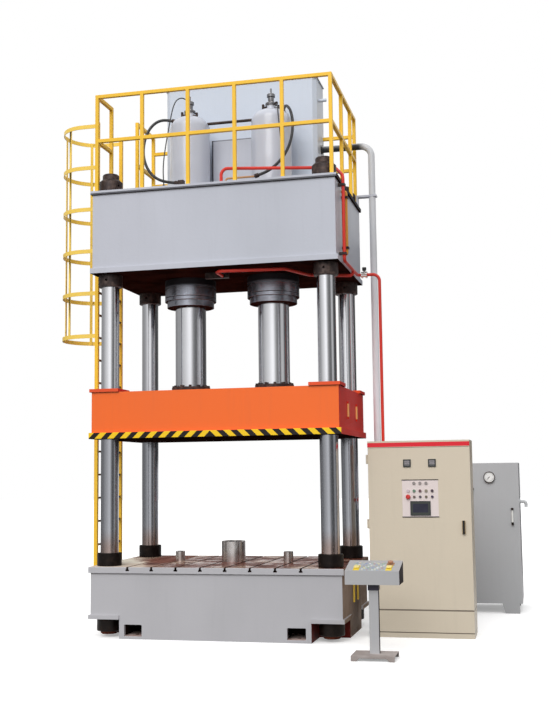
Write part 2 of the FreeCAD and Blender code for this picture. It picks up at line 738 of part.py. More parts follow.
def make_ram(x, y):
    top = SLIDE_TOP + RAM_LENGTH
    piston = BARREL_BORE / 2 - RUNNING_GAP
    inner = RAM_BORE / 2
    return turned([
        (0, SLIDE_TOP), (RAM_RADIUS, SLIDE_TOP), (RAM_RADIUS, top - PISTON_HEIGHT), (piston, top - PISTON_HEIGHT),
        (piston, top), (inner, top), (inner, SLIDE_TOP + RAM_FLOOR), (0, SLIDE_TOP + RAM_FLOOR),
    ], x, y)


def make_ram_flange(x, y):
    """A clamp ring in two halves that holds the ram's foot down on the slide."""
    whole = ring(RAM_FLANGE_DIAMETER / 2, RAM_RADIUS + RUNNING_GAP, V(x, y, SLIDE_TOP),
                 V(x, y, SLIDE_TOP + RAM_FLANGE_HEIGHT))
    reach = RAM_FLANGE_DIAMETER
    split = box(x - reach, x + reach, y - RAM_FLANGE_SPLIT / 2, y + RAM_FLANGE_SPLIT / 2, SLIDE_TOP,
                SLIDE_TOP + RAM_FLANGE_HEIGHT)
    return whole.cut(split).Solids


def make_cylinder_nut(x, y):
    return ring(CYLINDER_NUT_DIAMETER / 2, BARREL_RADIUS + RUNNING_GAP, V(x, y, CROWN_TOP),
                V(x, y, CROWN_TOP + CYLINDER_NUT_HEIGHT))


def make_prefill_valve(x, y, hose_start, hose_next):
    """Valve on the cylinder's neck: flange, slim body and bolted cap, with two ports and a pilot stub."""
    flange = VALVE_FLANGE_DIAMETER / 2
    body = VALVE_BODY_DIAMETER / 2
    cap = VALVE_CAP_DIAMETER / 2
    pin = VALVE_PIN_DIAMETER / 2
    top = NECK_TOP + VALVE_HEIGHT
    ledge = NECK_TOP + VALVE_FLANGE_HEIGHT
    valve = turned([
        (0, NECK_TOP), (flange, NECK_TOP), (flange, ledge), (body, ledge), (body, top - VALVE_CAP_HEIGHT),
        (cap, top - VALVE_CAP_HEIGHT), (cap, top - VALVE_CAP_CHAMFER), (cap - VALVE_CAP_CHAMFER, top),
        (pin, top), (pin, top + VALVE_PIN_HEIGHT), (0, top + VALVE_PIN_HEIGHT),
    ], x, y)
    pieces = [valve]
    for side, drop in ((-1, PORT_DROP), (1, PORT_DROP + PORT_STEP)):
        level = NECK_TOP - drop
        end = V(x + side * PORT_REACH, y - PORT_STEP, level)
        arm = rod(PORT_DIAMETER / 2, V(x, y - PORT_STEP, level), end)
        foot = end - UP * (PLUG_HEIGHT / 2)
        pieces.append(arm.fuse(rod(PLUG_DIAMETER / 2, foot, foot + UP * PLUG_HEIGHT)))
    out = (hose_start - hose_next).normalize()
    bend = hose_start + out * HOSE_NUT_LENGTH / 2
    low = hose_start.z < top - VALVE_CAP_HEIGHT
    root = V(x, y, NECK_TOP + VALVE_FLANGE_HEIGHT / 2) if low else V(x, y, top - VALVE_CAP_HEIGHT / 2)
    pieces.append(rod(PILOT_HOSE_DIAMETER / 2 + HOSE_NUT_WALL, hose_start, bend))
    pieces.append(rod(PILOT_HOSE_DIAMETER, root, bend))
    neck = rod(NECK_DIAMETER / 2, V(x, y, CROWN_TOP), V(x, y, NECK_TOP))
    return joined(pieces).cut(neck.fuse(solid_barrel(x, y)))


# ---- Slide with corner guide pads, platen, bushes ----
def make_slide():
    bottom = SLIDE_BOTTOM + SLIDE_PLATE
    shell = box(-HALF_LENGTH, HALF_LENGTH, -HALF_DEPTH, HALF_DEPTH, bottom, SLIDE_TOP)
    inner = SLIDE_WALL
    ceiling = SLIDE_TOP - SLIDE_TOP_WALL
    seat = RAM_FLANGE_DIAMETER / 2
    half_rib = BED_RIB / 2
    spans = [(-HALF_LENGTH + inner, -OUTER_RIB_X - half_rib), (-OUTER_RIB_X + half_rib, -INNER_RIB_X + half_rib),
             (-INNER_RIB_X + 3 * half_rib, INNER_RIB_X - 3 * half_rib),
             (INNER_RIB_X - half_rib, OUTER_RIB_X - half_rib), (OUTER_RIB_X + half_rib, HALF_LENGTH - inner)]
    cells = [box(x0, x1, -HALF_DEPTH + inner, HALF_DEPTH - inner, bottom, ceiling) for x0, x1 in spans]
    hollow = Part.makeCompound(cells)
    keep = [rod(COLUMN_RADIUS + BUSH_WALL + SLEEVE_WALL, V(x, y, bottom), V(x, y, ceiling)) for x, y in COLUMNS]
    keep += [rod(seat, V(x, y, bottom), V(x, y, ceiling)) for x, y in CYLINDERS]
    slide = shell.cut(hollow.cut(keep))
    additions = []
    for x, y in COLUMNS:
        x1 = math.copysign(LIP_LENGTH, x)
        y1 = math.copysign(LIP_DEPTH, y)
        x0 = x1 - math.copysign(PAD_SIZE, x)
        y0 = y1 - math.copysign(PAD_SIZE, y)
        additions.append(box(min(x0, x1), max(x0, x1), min(y0, y1), max(y0, y1), SLIDE_TOP, PAD_TOP))
    for y in (-SLIDE_BAR_HALF_PITCH, SLIDE_BAR_HALF_PITCH):
        half = GUARD_BAR_WIDTH / 2
        additions.append(box(HALF_LENGTH, HALF_LENGTH + GUARD_BAR_RISE, y - half, y + half, SLIDE_BAR_BOTTOM,
                             SLIDE_BAR_TOP))
    slide = joined([slide, *additions])
    bores = [rod(COLUMN_RADIUS + BUSH_WALL, V(x, y, bottom), V(x, y, PAD_TOP)) for x, y in COLUMNS]
    return slide.cut(bores)


def make_slide_plate():
    reach = HALF_LENGTH + SLIDE_LIP
    depth = HALF_DEPTH + SLIDE_LIP
    plate = box(-reach, reach, -depth, depth, SLIDE_BOTTOM, SLIDE_BOTTOM + SLIDE_PLATE)
    holes = [rod(COLUMN_RADIUS + HOLE_GAP, V(x, y, SLIDE_BOTTOM), V(x, y, SLIDE_BOTTOM + SLIDE_PLATE))
             for x, y in COLUMNS]
    return plate.cut(holes)


def make_bush(x, y):
    return ring(COLUMN_RADIUS + BUSH_WALL, COLUMN_RADIUS + RUNNING_GAP, V(x, y, SLIDE_BOTTOM + SLIDE_PLATE),
                V(x, y, PAD_TOP))


# ---- Ejectors in the bed ----
def make_ejector(x, diameter, rise, foot, recess, recess_depth):
    radius = diameter / 2
    top = TABLE_TOP + rise
    profile = [(0, foot), (radius, foot), (radius, top - EJECTOR_CHAMFER),
               (radius - EJECTOR_CHAMFER, top)]
    if recess:
        profile += [(recess / 2, top), (recess / 2, top - recess_depth), (0, top - recess_depth)]
    else:
        profile += [(0, top)]
    return turned(profile, x, 0)


def make_ejector_cylinder(x, diameter, wall, bottom):
    bore = diameter / 2 + RUNNING_GAP
    return turned([
        (0, bottom), (bore + wall, bottom), (bore + wall, BED_HEIGHT), (bore, BED_HEIGHT),
        (bore, bottom + EJECTOR_CYLINDER_FLOOR), (0, bottom + EJECTOR_CYLINDER_FLOOR),
    ], x, 0)


# ---- Overhead oil tank ----
def tank_section(grow):
    """The tank's plan, with its two front corners cut off."""
    left = TANK_LEFT - grow
    right = TANK_RIGHT + grow
    y0 = TANK_FRONT - grow
    y1 = TANK_BACK + grow
    c = TANK_CORNER
    return [(left + c, y0), (right - c, y0), (right, y0 + c), (right, y1), (left, y1), (left, y0 + c)]


def make_tank():
    top = CROWN_TOP + TANK_HEIGHT
    outer = upright(tank_section(0), CROWN_TOP, top)
    inner = upright(tank_section(-TANK_WALL), CROWN_TOP + TANK_WALL, top)
    port = V(TANK_RIGHT, TANK_FRONT + NOZZLE_INSET, CROWN_TOP + NOZZLE_HEIGHT)
    nozzle = rod(NOZZLE_RADIUS, port - RIGHT * TANK_WALL / 2, port + RIGHT * NOZZLE_REACH)
    return joined([outer.cut(inner), nozzle])


def make_tank_lid():
    top = CROWN_TOP + TANK_HEIGHT
    return upright(tank_section(TANK_LID_LIP), top, top + TANK_LID)


def make_manifold():
    """The valve box between the cylinders, against the tank."""
    half = MANIFOLD_LENGTH / 2
    return box(-half, half, TANK_FRONT - MANIFOLD_DEPTH, TANK_FRONT, CROWN_TOP, CROWN_TOP + MANIFOLD_HEIGHT)


def make_cross_pipe():
    """Pipe that joins the shoulders of the two cylinders, so that they fill evenly."""
    z = CROWN_TOP + CROSS_PIPE_HEIGHT
    body = rod(CROSS_PIPE_DIAMETER / 2, V(CYLINDERS[0][0], 0, z), V(CYLINDERS[1][0], 0, z))
    return body.cut([solid_barrel(x, y) for x, y in CYLINDERS])


# ---- Railing ----
def rail_posts(places):
    half = RAIL_SIZE / 2
    top = CROWN_TOP + RAIL_HEIGHT
    return [box(x - half, x + half, y - half, y + half, CROWN_TOP, top) for x, y in places]


def rails(start, end, heights):
    """Level rails between two posts, at heights above the crown."""
    bars = []
    for height in heights:
        z = CROWN_TOP + height - RAIL_SIZE / 2
        bars.append(square_tube(V(start[0], start[1], z), V(end[0], end[1], z), RAIL_SIZE))
    return bars


def make_front_railing():
    pitch = 2 * RAIL_X / RAIL_BAYS
    places = [(-RAIL_X + i * pitch, -RAIL_Y) for i in range(RAIL_BAYS + 1)]
    return joined([*rail_posts(places), *rails(places[0], places[-1], (RAIL_HEIGHT, MID_RAIL_HEIGHT))])


def make_left_railing():
    """A short return beside the ladder, and the length behind it."""
    clear = RAIL_SIZE / 2
    front = [(-RAIL_X, -RAIL_Y + LEFT_RETURN)]
    start = (-RAIL_X, -RAIL_Y + clear)
    short = joined([*rail_posts(front), *rails(start, front[0], (RAIL_HEIGHT, MID_RAIL_HEIGHT))])
    corner = RAIL_Y + LEFT_REAR_SHIFT
    rear = [(-LEFT_REAR_X, LEFT_REAR_Y), (-LEFT_REAR_X, corner)]
    tank_side = (TANK_LEFT, corner)
    long = joined([*rail_posts(rear), *rails(rear[0], rear[1], (RAIL_HEIGHT, MID_RAIL_HEIGHT)),
                   *rails(rear[1], tank_side, REAR_BAR_HEIGHTS)])
    return group([short, long])


def make_right_railing():
    clear = RAIL_SIZE / 2
    places = [(RAIL_X, y) for y in (*RIGHT_POST_Y, RAIL_Y)]
    start = (RAIL_X, -RAIL_Y + clear)
    tank_side = (TANK_RIGHT, RAIL_Y)
    return joined([*rail_posts(places), *rails(start, places[-1], (RAIL_HEIGHT, MID_RAIL_HEIGHT)),
                   *rails(tank_side, places[-1], REAR_BAR_HEIGHTS)])


# ---- Ladder with its safety cage ----
def make_ladder():
    half = RAIL_SIZE / 2
    x = -LADDER_X
    sides = [LADDER_CENTRE_Y - LADDER_WIDTH / 2, LADDER_CENTRE_Y + LADDER_WIDTH / 2]
    pieces = [box(x - half, x + half, y - half, y + half, LADDER_BOTTOM, LADDER_TOP) for y in sides]
    rung = RUNG_SIZE / 2
    for i in range(RUNG_COUNT):
        z = LADDER_BOTTOM + RUNG_PITCH * (i + 0.5)
        pieces.append(box(x - rung, x + rung, sides[0], sides[1], z - rung, z + rung))
    lug = LUG_THICKNESS / 2
    for z in LADDER_LUG_HEIGHTS:
        for y in sides:
            pieces.append(box(x, -HALF_LENGTH, y - half, y + half, z - lug, z + lug))
    return joined(pieces)


def hoop_section(half, back):
    """A hoop's plan in metal or air: two straight legs and a half circle that faces left."""
    legs = -LADDER_X - CAGE_REACH + LADDER_WIDTH / 2
    y = LADDER_CENTRE_Y
    arc = Part.Arc(V(legs, y - half, 0), V(legs - half, y, 0), V(legs, y + half, 0)).toShape()
    sides = [Part.LineSegment(V(legs, y + half, 0), V(back, y + half, 0)).toShape(),
             Part.LineSegment(V(back, y + half, 0), V(back, y - half, 0)).toShape(),
             Part.LineSegment(V(back, y - half, 0), V(legs, y - half, 0)).toShape()]
    return Part.Face(Part.Wire([arc, *sides]))


def make_cage():
    half = LADDER_WIDTH / 2
    back = -LADDER_X - RAIL_SIZE / 2
    hoop = hoop_section(half, back).cut(hoop_section(half - HOOP_THICKNESS, back + HOOP_THICKNESS))
    hoop = hoop.extrude(UP * HOOP_WIDTH)
    levels = [CAGE_TOP - i * CAGE_PITCH for i in range(CAGE_HOOPS)]
    pieces = [hoop.translated(UP * level) for level in levels]
    inside = half - HOOP_THICKNESS - STRAP_THICKNESS
    bite = STRAP_THICKNESS + HOOP_THICKNESS / 2
    centre = V(-LADDER_X - CAGE_REACH + half, LADDER_CENTRE_Y, 0)
    for angle in STRAP_ANGLES:
        strap = box(-inside - bite, -inside, -STRAP_WIDTH / 2, STRAP_WIDTH / 2, levels[-1], CAGE_TOP + HOOP_WIDTH)
        strap.rotate(V(0, 0, 0), UP, angle)
        strap.translate(centre)
        pieces.append(strap)
    return joined(pieces)


# ---- Rigid pipes ----
def make_return_pipe():
    """Brings oil back from the overhead tank to the power unit."""
    level = CROWN_TOP + RETURN_PIPE_RISE
    bend = 1.6 * RETURN_PIPE_DIAMETER
    route = [V(TANK_RIGHT, RETURN_PIPE_Y, level), V(RETURN_PIPE_X, RETURN_PIPE_Y, level),
             V(RETURN_PIPE_X, RETURN_PIPE_Y, RETURN_PIPE_ENTRY), V(RETURN_PIPE_X, UNIT_FRONT, RETURN_PIPE_ENTRY)]
    body = pipe(route, RETURN_PIPE_DIAMETER, bend)
    radius = RETURN_PIPE_DIAMETER / 2 + FLANGE_THICKNESS
    tank = rod(radius, route[0], route[0] + RIGHT * FLANGE_THICKNESS)
    unit = rod(radius, route[-1], route[-1] - BACK * FLANGE_THICKNESS)
    return joined([body, tank, unit])


def side_pipe_x(diameter):
    """How far out a pipe stands that runs down the crown's right side."""
    return LIP_LENGTH + PIPE_STANDOFF + diameter / 2


def make_crown_pipe():
    """Pressure line over the top of the crown, down its right side and back along it to the valve."""
    x = side_pipe_x(PRESSURE_PIPE_DIAMETER)
    level = CROWN_TOP + CROWN_PIPE_RISE
    route = [
        V(RISER_X, RISER_Y, CROWN_TOP), V(RISER_X, RISER_Y, level), V(CROWN_PIPE_TURN_X, CROWN_PIPE_TURN_Y, level),
        V(x, SIDE_PIPE_Y, CROWN_TOP + SIDE_PIPE_RISE), V(x, SIDE_PIPE_Y, UNION_LEVEL),
        V(x, PRESSURE_PIPE_Y, UNION_LEVEL), V(UNION_X - UNION_LENGTH / 2, PRESSURE_PIPE_Y, UNION_LEVEL),
    ]
    return pipe(route, PRESSURE_PIPE_DIAMETER, [PIPE_BEND, PIPE_BEND, PIPE_BEND, UNION_BEND, UNION_BEND])


def make_cylinder_pipe():
    """Pressure line under the crown, from the cylinders' port bar to a tee in the line on the side."""
    z = CROWN_BOTTOM - UNDER_PIPE_DROP
    bar = box(PORT_BAR_X - PORT_BAR_LENGTH / 2, PORT_BAR_X + PORT_BAR_LENGTH / 2, PORT_BAR_Y - PORT_BAR_DEPTH / 2,
              PORT_BAR_Y + PORT_BAR_DEPTH / 2, z - PORT_BAR_DEPTH / 2, CROWN_BOTTOM)
    start = V(UNDER_PIPE_POINTS[0][0], PORT_BAR_Y, z)
    tee = V(side_pipe_x(PRESSURE_PIPE_DIAMETER), TEE_Y, UNION_LEVEL)
    route = [start, *[V(x, y, z) for x, y in UNDER_PIPE_POINTS], V(tee.x, tee.y, z), tee]
    body = pipe(route, PRESSURE_PIPE_DIAMETER, [PIPE_BEND, PIPE_BEND, PIPE_BEND, UNION_BEND])
    reach = BACK * PRESSURE_PIPE_DIAMETER * 2
    return joined([bar, body]).cut(rod(PRESSURE_PIPE_DIAMETER / 2, tee - reach, tee + reach))


def make_supply_pipe():
    """Pressure line from the valve down to the power unit."""
    route = [V(UNION_X + UNION_LENGTH / 2, PRESSURE_PIPE_Y, UNION_LEVEL),
             V(PRESSURE_PIPE_X, PRESSURE_PIPE_Y, UNION_LEVEL),
             V(PRESSURE_PIPE_X, PRESSURE_PIPE_Y, PRESSURE_PIPE_ENTRY),
             V(PRESSURE_PIPE_X, UNIT_FRONT, PRESSURE_PIPE_ENTRY)]
    body = pipe(route, PRESSURE_PIPE_DIAMETER, PIPE_BEND)
    radius = PRESSURE_PIPE_DIAMETER / 2 + FLANGE_THICKNESS
    return joined([body, rod(radius, route[-1], route[-1] - BACK * FLANGE_THICKNESS)])


def make_drain_pipe():
    x = side_pipe_x(DRAIN_PIPE_DIAMETER)
    top = CROWN_TOP - CROWN_TOP_PLATE - 2 * DRAIN_PIPE_DIAMETER
    bottom = CROWN_BOTTOM + CROWN_BASE_PLATE + 2 * DRAIN_PIPE_DIAMETER
    route = [V(HALF_LENGTH, DRAIN_PIPE_Y, top), V(x, DRAIN_PIPE_Y, top), V(x, DRAIN_PIPE_Y, bottom),
             V(HALF_LENGTH, DRAIN_PIPE_Y, bottom)]
    return pipe(route, DRAIN_PIPE_DIAMETER, DRAIN_PIPE_DIAMETER)


def saddle(x, y, z, diameter):
    """A clamp block that holds a pipe on the crown's right side."""
    reach = x + diameter / 2 + CLAMP_MARGIN / 2
    half = diameter / 2 + CLAMP_MARGIN
    block = box(HALF_LENGTH, reach, y - half, y + half, z, z + CLAMP_THICKNESS)
    return block.cut(rod(diameter / 2, V(x, y, z - 1), V(x, y, z + CLAMP_THICKNESS + 1)))


def make_clamps():
    """Two clamps on each pipe on the crown's side, and the strap that holds the return pipe."""
    clamps = []
    base = CROWN_BOTTOM + CROWN_BASE_PLATE
    ceiling = CROWN_TOP - CROWN_TOP_PLATE
    x = side_pipe_x(PRESSURE_PIPE_DIAMETER)
    for z in (base + CLAMP_INSET, ceiling - CLAMP_INSET - CLAMP_THICKNESS):
        clamps.append(saddle(x, SIDE_PIPE_Y, z, PRESSURE_PIPE_DIAMETER))
    x = side_pipe_x(DRAIN_PIPE_DIAMETER)
    for z in (CROWN_BOTTOM + CROWN_HEIGHT / 5, CROWN_TOP - CROWN_HEIGHT / 5):
        clamps.append(saddle(x, DRAIN_PIPE_Y, z, DRAIN_PIPE_DIAMETER))
    z = CROWN_TOP + RETURN_STRAP_RISE
    radius = RETURN_PIPE_DIAMETER / 2
    y = RETURN_PIPE_Y
    foot_x = LIP_LENGTH - CLAMP_THICKNESS
    arm = box(foot_x, RETURN_PIPE_X + radius + CLAMP_MARGIN, y - radius, y + radius, z, z + CLAMP_THICKNESS)
    foot = box(foot_x, LIP_LENGTH, y - radius, y + radius, CROWN_TOP, z)
    hole = rod(radius, V(RETURN_PIPE_X, y, z - 1), V(RETURN_PIPE_X, y, z + CLAMP_THICKNESS + 1))
    clamps.append(joined([arm, foot]).cut(hole))
    return group(clamps)


def make_shutoff_valve():
    start = V(UNION_X - UNION_LENGTH / 2, PRESSURE_PIPE_Y, UNION_LEVEL)
    end = start + RIGHT * UNION_LENGTH
    rim = UNION_LENGTH / 4
    radius = UNION_DIAMETER / 2
    body = [rod(radius * UNION_WAIST, start, end), rod(radius, start, start + RIGHT * rim),
            rod(radius, end - RIGHT * rim, end)]
    middle = V(UNION_X, PRESSURE_PIPE_Y, UNION_LEVEL)
    body.append(rod(KNOB_STEM, middle, middle + UP * (radius + KNOB_STEM)))
    return joined(body)


def make_valve_knob():
    """A star knob that turns on the valve's stem."""
    base = UNION_LEVEL + UNION_DIAMETER / 2 + KNOB_STEM + SEAT_GAP
    centre = V(UNION_X, PRESSURE_PIPE_Y, base)
    knob = rod(KNOB_DIAMETER / 2, centre, centre + UP * KNOB_HEIGHT)
    notches = []
    for i in range(KNOB_NOTCHES):
        angle = 2 * math.pi * i / KNOB_NOTCHES
        at = centre + V(math.cos(angle), math.sin(angle), 0) * (KNOB_DIAMETER / 2)
        notches.append(rod(KNOB_NOTCH_RADIUS, at, at + UP * KNOB_HEIGHT))
    return knob.cut(notches)


# ---- Hoses on the crown: points chosen by hand along each hose's hang ----
LEFT_FILL_ROUTE = [
    V(-686, -8, 5676), V(-750, -18, 5691), V(-825, -40, 5682), V(-890, -68, 5636), V(-943, -102, 5548),
    V(-972, -142, 5420), V(-970, -188, 5270), V(-925, -240, 5125), V(-848, -288, 5000), V(-745, -326, 4912),
    V(-632, -352, 4866), V(-528, -368, 4846),
]
RIGHT_FILL_ROUTE = [
    V(548, 300, 5780), V(580, 205, 5800), V(633, 105, 5775), V(694, 12, 5685), V(734, -60, 5545),
    V(742, -120, 5375), V(716, -190, 5200), V(660, -272, 5055), V(580, -330, 4950), V(500, -374, 4882),
    V(425, -398, 4852),
]
LEFT_PILOT_ROUTE = [
    V(-492, -4, 5888), V(-530, -22, 5922), V(-577, -52, 5922), V(-614, -88, 5880), V(-634, -130, 5790),
    V(-645, -180, 5650), V(-657, -225, 5490), V(-675, -258, 5320), V(-692, -280, 5150), V(-697, -293, 4990),
    V(-683, -302, 4850),
]
RIGHT_PILOT_ROUTE = [
    V(562, -92, 5738), V(588, -165, 5676), V(604, -215, 5575), V(622, -242, 5445), V(638, -245, 5285),
    V(650, -236, 5110), V(660, -238, 4940), V(668, -244, 4795),
]


def stub(route, end, diameter, reach):
    """The crimped ferrule and pipe stub that one end of a hose comes out of."""
    at, near = (route[0], route[1]) if end == 0 else (route[-1], route[-2])
    out = (at - near).normalize()
    ferrule = rod(diameter / 2 + HOSE_NUT_WALL, at, at + out * HOSE_NUT_LENGTH)
    return ferrule.fuse(rod(diameter / 2, at, at + out * reach))


def make_hose_fittings():
    """Port blocks on the crown, and the stubs that join the hoses to the cylinders and the tank."""
    half = PORT_BLOCK / 2
    end = LEFT_FILL_ROUTE[-1]
    foot = end + (end - LEFT_FILL_ROUTE[-2]).normalize() * (HOSE_NUT_LENGTH + half)
    block = box(foot.x - half, foot.x + half, foot.y - half, foot.y + half, CROWN_TOP, foot.z + half)
    pieces = [joined([block, stub(LEFT_FILL_ROUTE, -1, FILL_HOSE_DIAMETER, HOSE_NUT_LENGTH + SEAT_GAP)])]
    end = RIGHT_FILL_ROUTE[-1]
    foot = end + (end - RIGHT_FILL_ROUTE[-2]).normalize() * HOSE_NUT_LENGTH
    route = [end, foot, V(THIN_PIPE_END_X, foot.y, foot.z), V(THIN_PIPE_END_X, foot.y, CROWN_TOP)]
    thin = pipe(route, THIN_PIPE_DIAMETER, THIN_PIPE_BEND)
    pieces.append(joined([thin, stub(RIGHT_FILL_ROUTE, -1, FILL_HOSE_DIAMETER, HOSE_NUT_LENGTH)]))
    for route in (LEFT_PILOT_ROUTE, RIGHT_PILOT_ROUTE):
        end = route[-1]
        foot = end + (end - route[-2]).normalize() * HOSE_NUT_LENGTH
        post = rod(PILOT_HOSE_DIAMETER / 2 + HOSE_NUT_WALL, V(foot.x, foot.y, CROWN_TOP),
                   V(foot.x, foot.y, foot.z + PILOT_HOSE_DIAMETER))
        pieces.append(joined([post, stub(route, -1, PILOT_HOSE_DIAMETER, HOSE_NUT_LENGTH)]))
    start = stub(LEFT_FILL_ROUTE, 0, FILL_HOSE_DIAMETER, TANK_STUB)
    pieces.append(start.cut(solid_barrel(*CYLINDERS[0])))
    start = stub(RIGHT_FILL_ROUTE, 0, FILL_HOSE_DIAMETER, TANK_STUB)
    keep = box(0, LIP_LENGTH, 0, TANK_FRONT, CROWN_TOP, COLUMN_TOP + TANK_HEIGHT)
    pieces.append(start.common(keep))
    return group(pieces)


# ---- Electrical cabinet ----
def make_cabinet():
    x0, x1 = CABINET_LEFT, CABINET_RIGHT
    y0, y1 = CABINET_FRONT, CABINET_FRONT + CABINET_DEPTH
    w = CABINET_WALL
    shell = box(x0, x1, y0, y1, 0, CABINET_HEIGHT)
    shell = shell.cut(box(x0 + w, x1 - w, y0 + w, y1 - w, PLINTH_HEIGHT, CABINET_HEIGHT - w))
    f = CABINET_FRAME
    shell = shell.cut(box(x0 + f, x1 - f, y0 - 1, y0 + w + 1, KICK_TOP + f, DOOR_TOP - f))
    shell = shell.cut(box(x0 + f, x1 - f, y0 + f, y1 - f, -1, PLINTH_HEIGHT - w))
    kick = box(x0, x1, DOOR_FRONT, y0, PLINTH_HEIGHT + REVEAL, KICK_TOP)
    plinth = box(x0, x1, DOOR_FRONT + REVEAL, y0, 0, PLINTH_HEIGHT)
    header = box(x0, x1, DOOR_FRONT - REVEAL, y0, CABINET_HEIGHT - HEADER_HEIGHT, CABINET_HEIGHT)
    parts = [shell, kick, plinth, header]
    for z in HINGE_HEIGHTS:
        for low in (z - HINGE_EAR, z + HINGE_LENGTH):
            parts.append(box(HINGE_X - HINGE_RADIUS, x0, HINGE_Y, y0 + CABINET_FRAME, low, low + HINGE_EAR))
            parts.append(rod(HINGE_RADIUS, V(HINGE_X, HINGE_Y, low), V(HINGE_X, HINGE_Y, low + HINGE_EAR)))
        parts.append(box(x0 - 1, x0 + w, y0, y0 + CABINET_FRAME, z - HINGE_EAR, z + HINGE_LENGTH + HINGE_EAR))
        top = z + HINGE_LENGTH + HINGE_EAR
        parts.append(rod(HINGE_PIN_RADIUS, V(HINGE_X, HINGE_Y, z - HINGE_EAR), V(HINGE_X, HINGE_Y, top)))
    return joined(parts)


def make_door():
    x0, x1 = CABINET_LEFT + REVEAL, CABINET_RIGHT
    leaf = box(x0, x1, DOOR_FRONT, DOOR_BACK, DOOR_BOTTOM, DOOR_TOP)
    s = DOOR_SHEET
    leaf = leaf.cut(box(x0 + s, x1 - s, DOOR_FRONT + s, DOOR_BACK + 1, DOOR_BOTTOM + s, DOOR_TOP - s))
    parts = [leaf]
    for z in HINGE_HEIGHTS:
        low = z + SEAT_GAP
        high = z + HINGE_LENGTH - SEAT_GAP
        parts.append(rod(HINGE_RADIUS, V(HINGE_X, HINGE_Y, low), V(HINGE_X, HINGE_Y, high)))
        parts.append(box(HINGE_X, x0 + s, HINGE_Y - s / 2, HINGE_Y + s / 2, low, high))
    door = joined(parts)
    tools = []
    for z in HINGE_HEIGHTS:
        top = V(HINGE_X, HINGE_Y, z + HINGE_LENGTH)
        tools.append(rod(HINGE_PIN_RADIUS + RUNNING_GAP, V(HINGE_X, HINGE_Y, z), top))
    for x, z in [*button_places(), stop_place()]:
        tools.append(rod(BUTTON_STEM_RADIUS + SEAT_GAP, V(x, DOOR_FRONT - 1, z), V(x, DOOR_FRONT + s + 1, z)))
    pivot = V(CABINET_LEFT + HANDLE_X, DOOR_FRONT, HANDLE_TOP - HANDLE_WIDTH / 2)
    tools.append(rod(HANDLE_PIVOT_RADIUS + RUNNING_GAP, pivot - BACK, pivot + BACK * (s + 1)))
    return door.cut(tools)


def control_place(column, row):
    """Where one lamp or button sits on the panel: columns 0 to 4, rows from the bottom."""
    return PANEL_X + (column - 2) * CONTROL_PITCH, PANEL_BOTTOM + CONTROL_ROWS[row]


def button_places():
    return [control_place(column, 0) for column in range(1, 5)]


def stop_place():
    return control_place(0, 0)


def make_panel():
    """Panel sheet, touch screen, signal lamps and the two meters above."""
    half = PANEL_WIDTH / 2
    sheet = box(PANEL_X - half, PANEL_X + half, PANEL_FRONT, DOOR_FRONT, PANEL_BOTTOM, PANEL_BOTTOM + PANEL_HEIGHT)
    holes = [rod(BUTTON_STEM_RADIUS + SEAT_GAP, V(x, PANEL_FRONT - 1, z), V(x, DOOR_FRONT + 1, z))
             for x, z in [*button_places(), stop_place()]]
    sheet = sheet.cut(holes)
    pieces = [sheet]
    low = PANEL_BOTTOM + (CONTROL_ROWS[0] - SCREEN_HEIGHT) / 4
    half = SCREEN_WIDTH / 2
    bezel = box(PANEL_X - half, PANEL_X + half, PANEL_FRONT - SCREEN_DEPTH, PANEL_FRONT, low, low + SCREEN_HEIGHT)
    glass = box(PANEL_X - half + SCREEN_DEPTH, PANEL_X + half - SCREEN_DEPTH, PANEL_FRONT - SCREEN_DEPTH - 1,
                PANEL_FRONT - SCREEN_DEPTH + 2, low + SCREEN_DEPTH, low + SCREEN_HEIGHT - SCREEN_DEPTH)
    pieces.append(bezel.cut(glass))
    lamps = [control_place(c, 1) for c in range(5)] + [control_place(c, 2) for c in (1, 2, 3)]
    for x, z in lamps:
        pieces.append(rod(LAMP_RADIUS, V(x, PANEL_FRONT - LAMP_RISE, z), V(x, PANEL_FRONT, z)))
    half = METER_SIZE / 2
    for side in (-1, 1):
        x = PANEL_X + side * METER_SPREAD / 2
        frame = box(x - half, x + half, DOOR_FRONT - METER_DEPTH, DOOR_FRONT, METER_HEIGHT - half,
                    METER_HEIGHT + half)
        face = box(x - half + METER_DEPTH, x + half - METER_DEPTH, DOOR_FRONT - METER_DEPTH - 1,
                   DOOR_FRONT - METER_DEPTH + 2, METER_HEIGHT - half + METER_DEPTH, METER_HEIGHT + half - METER_DEPTH)
        pieces.append(frame.cut(face))
    return group(pieces)


def turned_out(profile, x, z, front):
    """A turned piece about a level axis that points out of the panel, as (radius, reach)."""
    face = outline([V(x + r, front - reach, z) for r, reach in profile])
    return face.revolve(V(x, 0, z), BACK, 360)


def make_button(x, z):
    stem = PANEL_THICKNESS + DOOR_SHEET
    lift = BUTTON_RIM + SEAT_GAP
    return turned_out([
        (0, -stem), (BUTTON_STEM_RADIUS, -stem), (BUTTON_STEM_RADIUS, lift), (BUTTON_RADIUS, lift),
        (BUTTON_RADIUS, BUTTON_RISE - BUTTON_CHAMFER), (BUTTON_RADIUS - BUTTON_CHAMFER, BUTTON_RISE), (0, BUTTON_RISE),
    ], x, z, PANEL_FRONT)


def make_stop(x, z):
    stem = PANEL_THICKNESS + DOOR_SHEET
    lift = STOP_RISE / 2
    return turned_out([
        (0, -stem), (BUTTON_STEM_RADIUS, -stem), (BUTTON_STEM_RADIUS, lift), (STOP_RADIUS * STOP_NECK, lift),
        (STOP_RADIUS, lift + STOP_STEP), (STOP_RADIUS, lift + 2 * STOP_STEP), (STOP_RADIUS * STOP_CROWN, STOP_RISE),
        (0, STOP_RISE),
    ], x, z, PANEL_FRONT)


